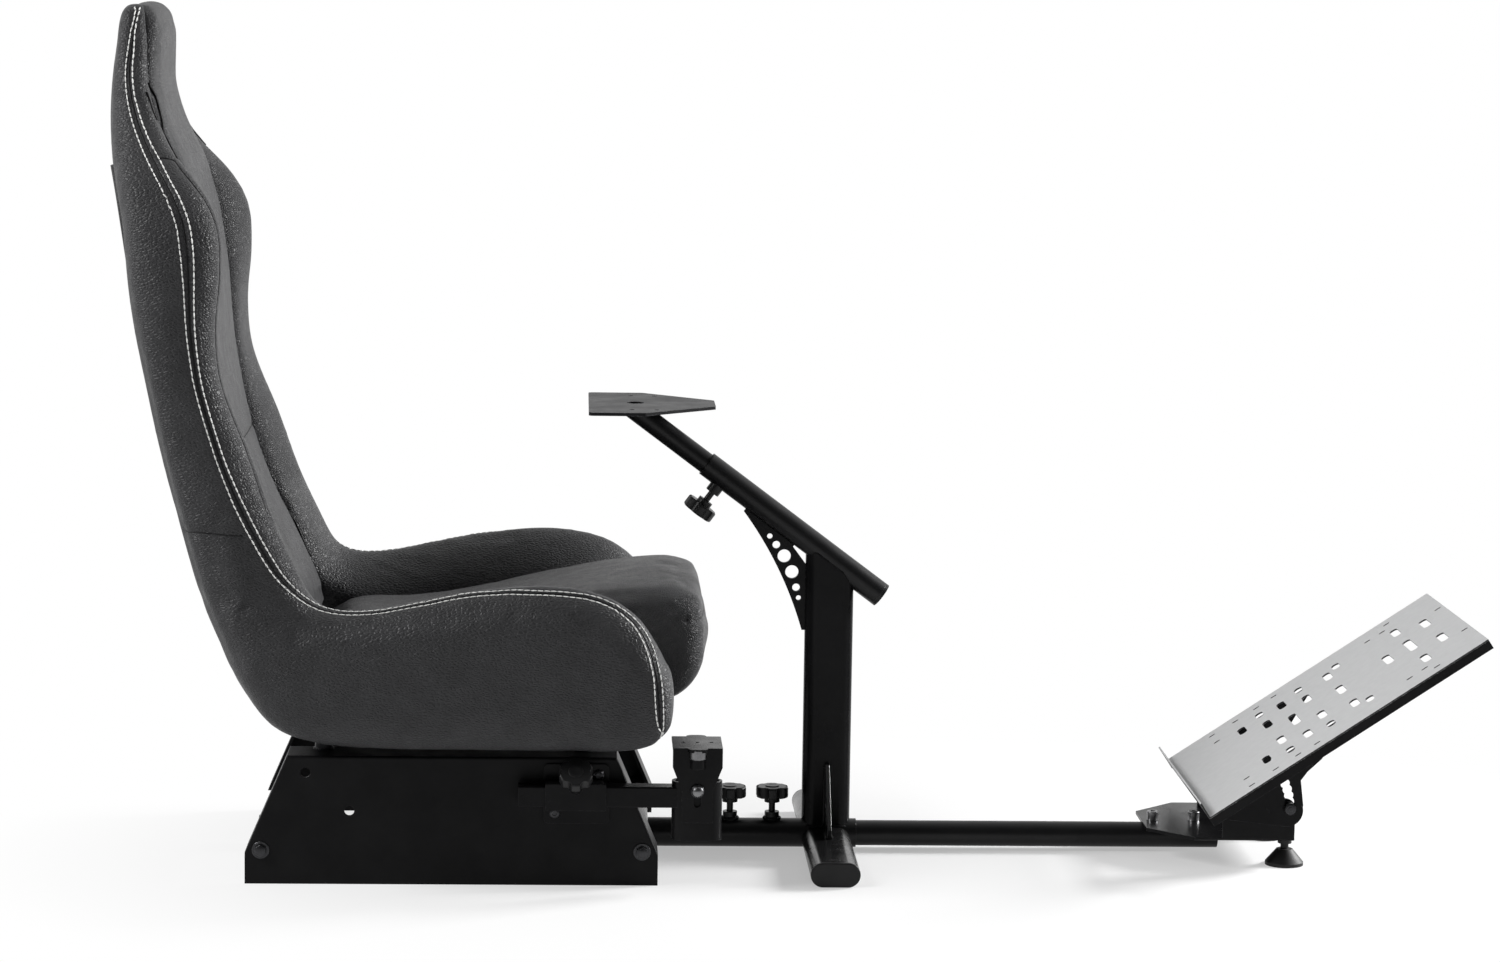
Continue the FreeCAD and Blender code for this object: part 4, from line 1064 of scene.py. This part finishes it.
    def dress(self, back: Piece, cushion: Piece) -> None:
        """Sew both pieces, and lay dark bars of painted shade in their seams.

        Args:
            back: the back panel.
            cushion: the cushion.
        """
        low, high = self.panel_seam_zs
        for side, sign in (("right", -1), ("left", 1)):
            roll = bpy.data.objects["seat_roll_" + side]
            line = [self.lowest(back, roll, z, sign * half) for z, _, _, half in smooth_row(self.back_rows, 6)
                    if low < z < high]
            # Painted shade: dark bar along the bottom of the valley beside the middle panel.
            painted_fold_shade("insert_seam_shade_" + side, line, 1.5, 1.5)
        self.seam("back_cross_seam_shade", back, -500, self.cross_seam_z, 148)
        self.seam("cushion_front_seam_shade", cushion, 0, self.front_seam_z, 160)


@dataclass
class Hardware:
    """Bolts, nuts, washers, studs and knob caps of the whole rig, in millimetres."""

    base_centre_x: float = -459.0
    base_face_y: float = 209.0
    cross_tube_offset: float = 227.0
    cross_tube_z: float = 41.0
    stud_offset: float = 155.0
    stud_y: float = 162.0
    stud_z: float = 155.0
    bracket_top_z: float = 39.0
    bracket_bolt_xs: tuple[float, ...] = (411.0, 463.0)
    foot_x: float = 565.0
    foot_y: float = 76.0
    rod_xs: tuple[float, ...] = (488.0, 563.5)
    rod_z: float = 78.0
    rod_face_y: float = 118.8
    clamp_bolts: tuple[Flat, ...] = ((-285.0, 135.0), (-337.0, 89.0))
    clamp_face_y: float = 213.0
    bolt_size: float = 13.0
    washer_radius: float = 10.5
    washer_height: float = 1.6
    tab_inset: float = 9.5
    nut_size: float = 17.0
    nut_height: float = 7.5
    thread_turns: int = 5
    thread_pitch: float = 1.3
    rail_hub_z: float = 59.0
    column_slope: float = math.radians(36.6)
    column_top: Spot = (-154.2, 0.0, 483.3)
    column_hub: Flat = (27.0, 36.5)
    clamp_centre: Spot = (-312.0, -229.0, 114.0)
    clamp_hub: float = 30.6
    cap_radius: float = 9.0
    knob_height: float = 20.0

    def bolt(self, mesh: Mesh, place: Vector, out: Vector) -> None:
        """Hexagon bolt on a washer.

        Args:
            mesh: the mesh that gets it.
            place: where the washer lies, in metres.
            out: where the head faces.
        """
        stand = facing(place, out)
        rim, lift, head = self.washer_radius, self.washer_height, 0.42 * self.bolt_size
        bore, top = 0.3 * self.bolt_size, lift + head
        turned(mesh, ((bore, 0), (rim, 0), (rim, 1.1), (rim - 0.5, lift), (bore, lift)), stand)
        hexagon(mesh, self.bolt_size, head, stand @ Matrix.Translation((0, 0, lift * MM)))
        turned(mesh, ((0, top + 0.35), (bore, top + 0.25), (head, top - 0.3)), stand, 20)

    def build_base(self) -> None:
        """Low bolts through the cross tubes and sleeves on the seat studs."""
        bolts = bmesh.new()
        stands = []
        for side in (-1, 1):
            for end in (-1, 1):
                x = self.base_centre_x + end * self.cross_tube_offset
                self.bolt(bolts, point(x, side * self.base_face_y, self.cross_tube_z), Vector((0, side, 0)))
                x = self.base_centre_x + end * self.stud_offset
                stands.append(facing(point(x, side * self.stud_y, self.stud_z), UP))
        finish_piece("base_bolts", bolts, BLACK_STEEL, "frame")
        sleeve = ((9.1, 0), (12.5, 0), (12.5, 1.5), (10.6, 2.2), (10.6, 10.4), (9.1, 10.4))
        turned_piece("seat_stud_sleeves", sleeve, stands, BLACK_STEEL, "frame")

    def build_clamp(self) -> None:
        """Bolts that hold the shifter clamp to the base plate, and the turned ends of the shifter's bracket."""
        stands = [facing(point(x, -self.clamp_face_y, z), DRIVER_RIGHT) for x, z in self.clamp_bolts]
        head = ((0, 3.2), (3.0, 3.2), (3.0, 4.6), (4.4, 4.4), (6.4, 2.6), (7.0, 0.8), (7.0, 0), (0, 0))
        turned_piece("clamp_bolts", head, stands, BLACK_STEEL, "frame")
        low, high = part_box("shifter_bolt")
        stand = facing(Vector((0.5 * (low[0] + high[0]), low[1], 0.5 * (low[2] + high[2]))), DRIVER_RIGHT)
        dome = ((0, 4.4), (3.0, 3.9), (5.4, 2.6), (6.9, 0.6), (7.2, -0.6), (0, -0.6))
        turned_piece("shifter_bolt_dome", dome, [stand], STEEL, "shifter_arm")
        low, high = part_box("shifter_bracket")
        stand = facing(Vector((0.5 * (low[0] + high[0]), low[1] + self.tab_inset * MM, high[2])), -UP)
        boss = ((0, 2), (10.5, 2), (10.5, 12), (9.6, 13), (0, 13))
        turned_piece("shifter_tab_boss", boss, [stand], STEEL, "shifter_bracket")
        neck = ((0, 12), (9.2, 12), (9.2, 24), (8.4, 25), (0, 25))
        turned_piece("shifter_tab_neck", neck, [stand], COAT, "shifter_bracket")

    def build_pedal(self) -> None:
        """Bracket screws, levelling nuts and studs, and the sockets in the rods' ends."""
        stands = [facing(point(x, 0, self.bracket_top_z), UP) for x in self.bracket_bolt_xs]
        screw = ((0, 5), (3.6, 5), (3.9, 11), (6.4, 11), (7.2, 10.2), (7.2, 0.6), (7.6, 0), (0, 0))
        turned_piece("bracket_cap_screws", screw, stands, STEEL, "pedal_carrier")
        thread = [(5.0, self.nut_height)]
        for turn in range(self.thread_turns):
            rise = self.thread_pitch * turn
            thread += [(5.5, 7.9 + rise), (5.05, 8.55 + rise)]
        thread += [(4.4, 14.4), (0, 14.4)]
        mesh = bmesh.new()
        for side in (-1, 1):
            stand = facing(point(self.foot_x, side * self.foot_y, self.bracket_top_z), UP)
            hexagon(mesh, self.nut_size, self.nut_height, stand)
            turned(mesh, thread, stand, 20)
        finish_piece("pedal_bracket_bolts", mesh, ZINC, "pedal_carrier")
        stands = [facing(point(x, side * self.rod_face_y, self.rod_z), Vector((0, side, 0)))
                  for x in self.rod_xs for side in (-1, 1)]
        socket = ((0, 1.6), (2.6, 1.6), (2.6, 0.2), (5.2, 0.5), (6.6, 0.0), (0, -0.5))
        turned_piece("rod_end_sockets", socket, stands, BLACK_STEEL, "pedal_carrier", steps=20)

    def build_caps(self) -> None:
        """Domed caps in the tops of the four lobed knobs."""
        rise, run = math.sin(self.column_slope), math.cos(self.column_slope)
        down, along = Vector((-rise, 0, -run)), Vector((-run, 0, rise))
        out = (DRIVER_RIGHT + UP).normalized()
        hubs = [(name, point(x, 0, self.rail_hub_z), UP)
                for name, x in zip(("rail_knob_rear", "rail_knob_front"), RAIL_BOSS_XS)]
        back, drop = self.column_hub
        hubs.append(("column_knob", point(*self.column_top) - along * back * MM + down * drop * MM, down))
        hubs.append(("shifter_knob", point(*self.clamp_centre) + out * self.clamp_hub * MM, out))
        rim, top = self.cap_radius, self.knob_height
        cap = ((0, top + 0.4), (4.5, top + 0.6), (rim - 1.2, top + 1.1), (rim - 0.4, top + 0.9), (rim, top - 0.2))
        for knob, hub, axis in hubs:
            turned_piece(knob + "_cap", cap, [facing(hub, axis)], PLASTIC, knob, 32)

    def build(self) -> None:
        """Make every fastener and cap."""
        self.build_base()
        self.build_clamp()
        self.build_pedal()
        self.build_caps()


@dataclass
class Welds:
    """Rippled weld beads where the steel pieces meet."""

    radius: float = 2.4
    pitch: float = 3.2
    post_radius: float = 15.0
    foot_top_z: float = 30.4
    boss_top_z: float = 38.3
    boss_radius: float = 9.4
    gusset_face: float = 2.6
    gusset_ys: Flat = (18.0, 84.0)
    gusset_zs: Flat = (34.0, 108.0)
    post_face_y: float = 15.4

    def bead(self, mesh: Mesh, corners: Sequence[Vector]) -> None:
        """One bead along a run of points.

        Args:
            mesh: the mesh that gets it.
            corners: its points in metres.
        """
        path, radii = [], []
        for start, end in zip(corners, corners[1:]):
            steps = max(2, round((end - start).length / (0.5 * self.pitch * MM)))
            for step in range(steps):
                path.append(start.lerp(end, step / steps))
                radii.append(self.radius * MM * (1.0 if len(radii) % 2 else 0.82))
        sweep(mesh, path, radii, 8)

    def loop(self, x: float, z: float, radius: float, flat: float, steps: int) -> list[Vector]:
        """Points round an upright joint, round or flat-oval.

        Args:
            x: its centre's X in millimetres.
            z: its height in millimetres.
            radius: its radius in millimetres.
            flat: half the length of its flat sides in millimetres, 0 for a round one.
            steps: how many points lie on it.

        Returns:
            The points in metres, with the first again at the end.
        """
        out = []
        for step in range(steps + 1):
            turn = 2 * math.pi * step / steps
            centre_x = x + math.copysign(flat, math.cos(turn))
            out.append(point(centre_x + radius * math.cos(turn), radius * math.sin(turn), z))
        return out

    def build(self) -> None:
        """Lay the beads of the fixed frame."""
        mesh = bmesh.new()
        self.bead(mesh, self.loop(0, 30.5, self.post_radius + 0.6, self.post_radius, 48))
        for side in (-1, 1):
            for x in (-self.gusset_face, self.gusset_face):
                self.bead(mesh, [point(x, side * self.post_face_y, z) for z in self.gusset_zs])
                self.bead(mesh, [point(x, side * y, self.foot_top_z) for y in self.gusset_ys])
        for x in RAIL_BOSS_XS:
            self.bead(mesh, self.loop(x, self.boss_top_z, self.boss_radius, 0, 36))
        finish_piece("weld_beads", mesh, COAT, "frame")


@dataclass
class Studio:
    """Floor, light and camera."""

    camera_place: tuple[float, float, float] = (-0.31548, -4.87599, 1.09581)
    camera_turn: tuple[float, float, float] = (82.60123, -0.85997, -2.41385)
    lens: float = 95.653
    sky: float = 0.32
    dim_side: float = 0.1
    floor_colour: float = 0.88
    # Painted light: share of white glow mixed into the floor near the rig, which makes its shadow paler.
    floor_glow_over_shadow: float = 0.4
    aim: Spot = (-0.1, 0.0, 0.4)
    lamps: tuple[tuple[str, Spot, float, float], ...] = (
        ("rear", (-2.8, -0.9, 2.4), 1.4, 90.0), ("front", (2.9, 0.9, 1.5), 0.9, 190.0),
    )

    def build_floor(self) -> None:
        """Pale floor that fades to the white background away from the rig, with painted light on it: a white glow
        for camera and glossy rays, a 0.4 share near the rig and full away from it, makes the rig's shadow on the
        floor paler.
        """
        mesh = bmesh.new()
        bmesh.ops.create_grid(mesh, x_segments=2, y_segments=2, size=12.0)
        material, graph = new_material("pale_floor")
        # Painted light: the glow share is least around a point set off to one side of the rig, where its shadow
        # is kept, and it rises away from that point, washing the shadow out.
        shape = graph.add("Mapping", vector_type="POINT", Vector=graph.add("TexCoord").outputs["Object"],
                          Location=(-0.08, 0.06, 0.0), Scale=(0.8, 1.25, 1.0))
        far = graph.maths("LENGTH", shape.outputs["Vector"], kind="VectorMath")
        shadow_wash_share = graph.ranged(far, 0.25, 0.95, self.floor_glow_over_shadow)
        rays = graph.add("LightPath").outputs
        seen = graph.maths("MAXIMUM", rays["Is Camera Ray"], rays["Is Glossy Ray"])
        seen = graph.maths("MAXIMUM", seen, rays["Is Transmission Ray"])
        paint = graph.add("BsdfPrincipled", Base_Color=(*(self.floor_colour,) * 3, 1.0), Roughness=0.75,
                          Specular_IOR_Level=0.2).outputs["BSDF"]
        glow = graph.add("Emission", Strength=1.0).outputs["Emission"]
        blend = graph.add("MixShader")
        for value, socket in zip((graph.maths("MULTIPLY", shadow_wash_share, seen), paint, glow), blend.inputs):
            graph.feed(value, socket)
        graph.add("OutputMaterial", Surface=blend.outputs["Shader"])
        floor = new_object("floor", mesh, [material])

    def build_world(self) -> None:
        """White surroundings, softer as a light than as a background, and dim on the side the camera stands."""
        world = bpy.data.worlds.new("studio")
        bpy.context.scene.world = world
        world.use_nodes = True
        graph = Graph(world.node_tree)
        rays = graph.add("LightPath").outputs
        mirrored = graph.maths("MAXIMUM", rays["Is Glossy Ray"], rays["Is Transmission Ray"])
        axes = graph.add("SeparateXYZ", Vector=graph.add("TexCoord").outputs["Generated"]).outputs
        room = graph.ranged(axes["Y"], -0.55, 0.35, self.dim_side)
        light = graph.maths("MULTIPLY", room, graph.ranged(mirrored, 0.0, 1.0, self.sky))
        level = graph.maths("MAXIMUM", light, rays["Is Camera Ray"])
        back = graph.add("Background", Color=(1.0, 1.0, 1.0, 1.0), Strength=level)
        graph.add("OutputWorld", Surface=back.outputs["Background"])

    def lamp(self, name: str, place: Vector, size: float, power: float) -> None:
        """Soft square lamp that faces the rig.

        Args:
            name: its name.
            place: where it hangs.
            size: its side in metres.
            power: its power in watts.
        """
        data = bpy.data.lights.new(name, "AREA")
        data.shape = "SQUARE"
        data.size = size
        data.energy = power
        lamp = bpy.data.objects.new(name, data)
        lamp.location = place
        lamp.rotation_euler = (Vector(self.aim) - place).to_track_quat("-Z", "Y").to_euler()
        bpy.context.scene.collection.objects.link(lamp)

    def build_camera(self) -> None:
        """Camera at the photograph's place."""
        data = bpy.data.cameras.new("camera")
        data.sensor_width = 36.0
        data.sensor_fit = "HORIZONTAL"
        data.lens = self.lens
        camera = bpy.data.objects.new("camera", data)
        camera.location = self.camera_place
        camera.rotation_euler = [math.radians(angle) for angle in self.camera_turn]
        bpy.context.scene.collection.objects.link(camera)
        bpy.context.scene.camera = camera

    def build(self) -> None:
        """Set the whole studio."""
        bpy.context.scene.view_settings.view_transform = "Standard"
        self.build_floor()
        self.build_world()
        for name, place, size, power in self.lamps:
            self.lamp(name, Vector(place), size, power)
        self.build_camera()


def dress_nodes() -> None:
    """Give every CAD node its finish."""
    for name, node in frame["nodes"].items():
        finish = NODE_FINISHES.get(name, COAT)
        material = finish.material()
        if not node.data.materials:
            node.data.materials.append(material)
        for slot in node.material_slots:
            slot.material = material
    LOG.info("finishes on %d nodes", len(frame["nodes"]))


def main() -> None:
    """Build the scene piece by piece."""
    logging.basicConfig(level=logging.INFO, format="%(message)s")
    Studio().build()
    dress_nodes()
    side, middle = SeatSide(), SeatMiddle()
    roll, back = side.build(), middle.build_back()
    middle.build_folds(back, side, roll)
    side.dress(roll)
    middle.dress(back, middle.build_cushion())
    Hardware().build()
    Welds().build()


if __name__ == "__main__":
    main()
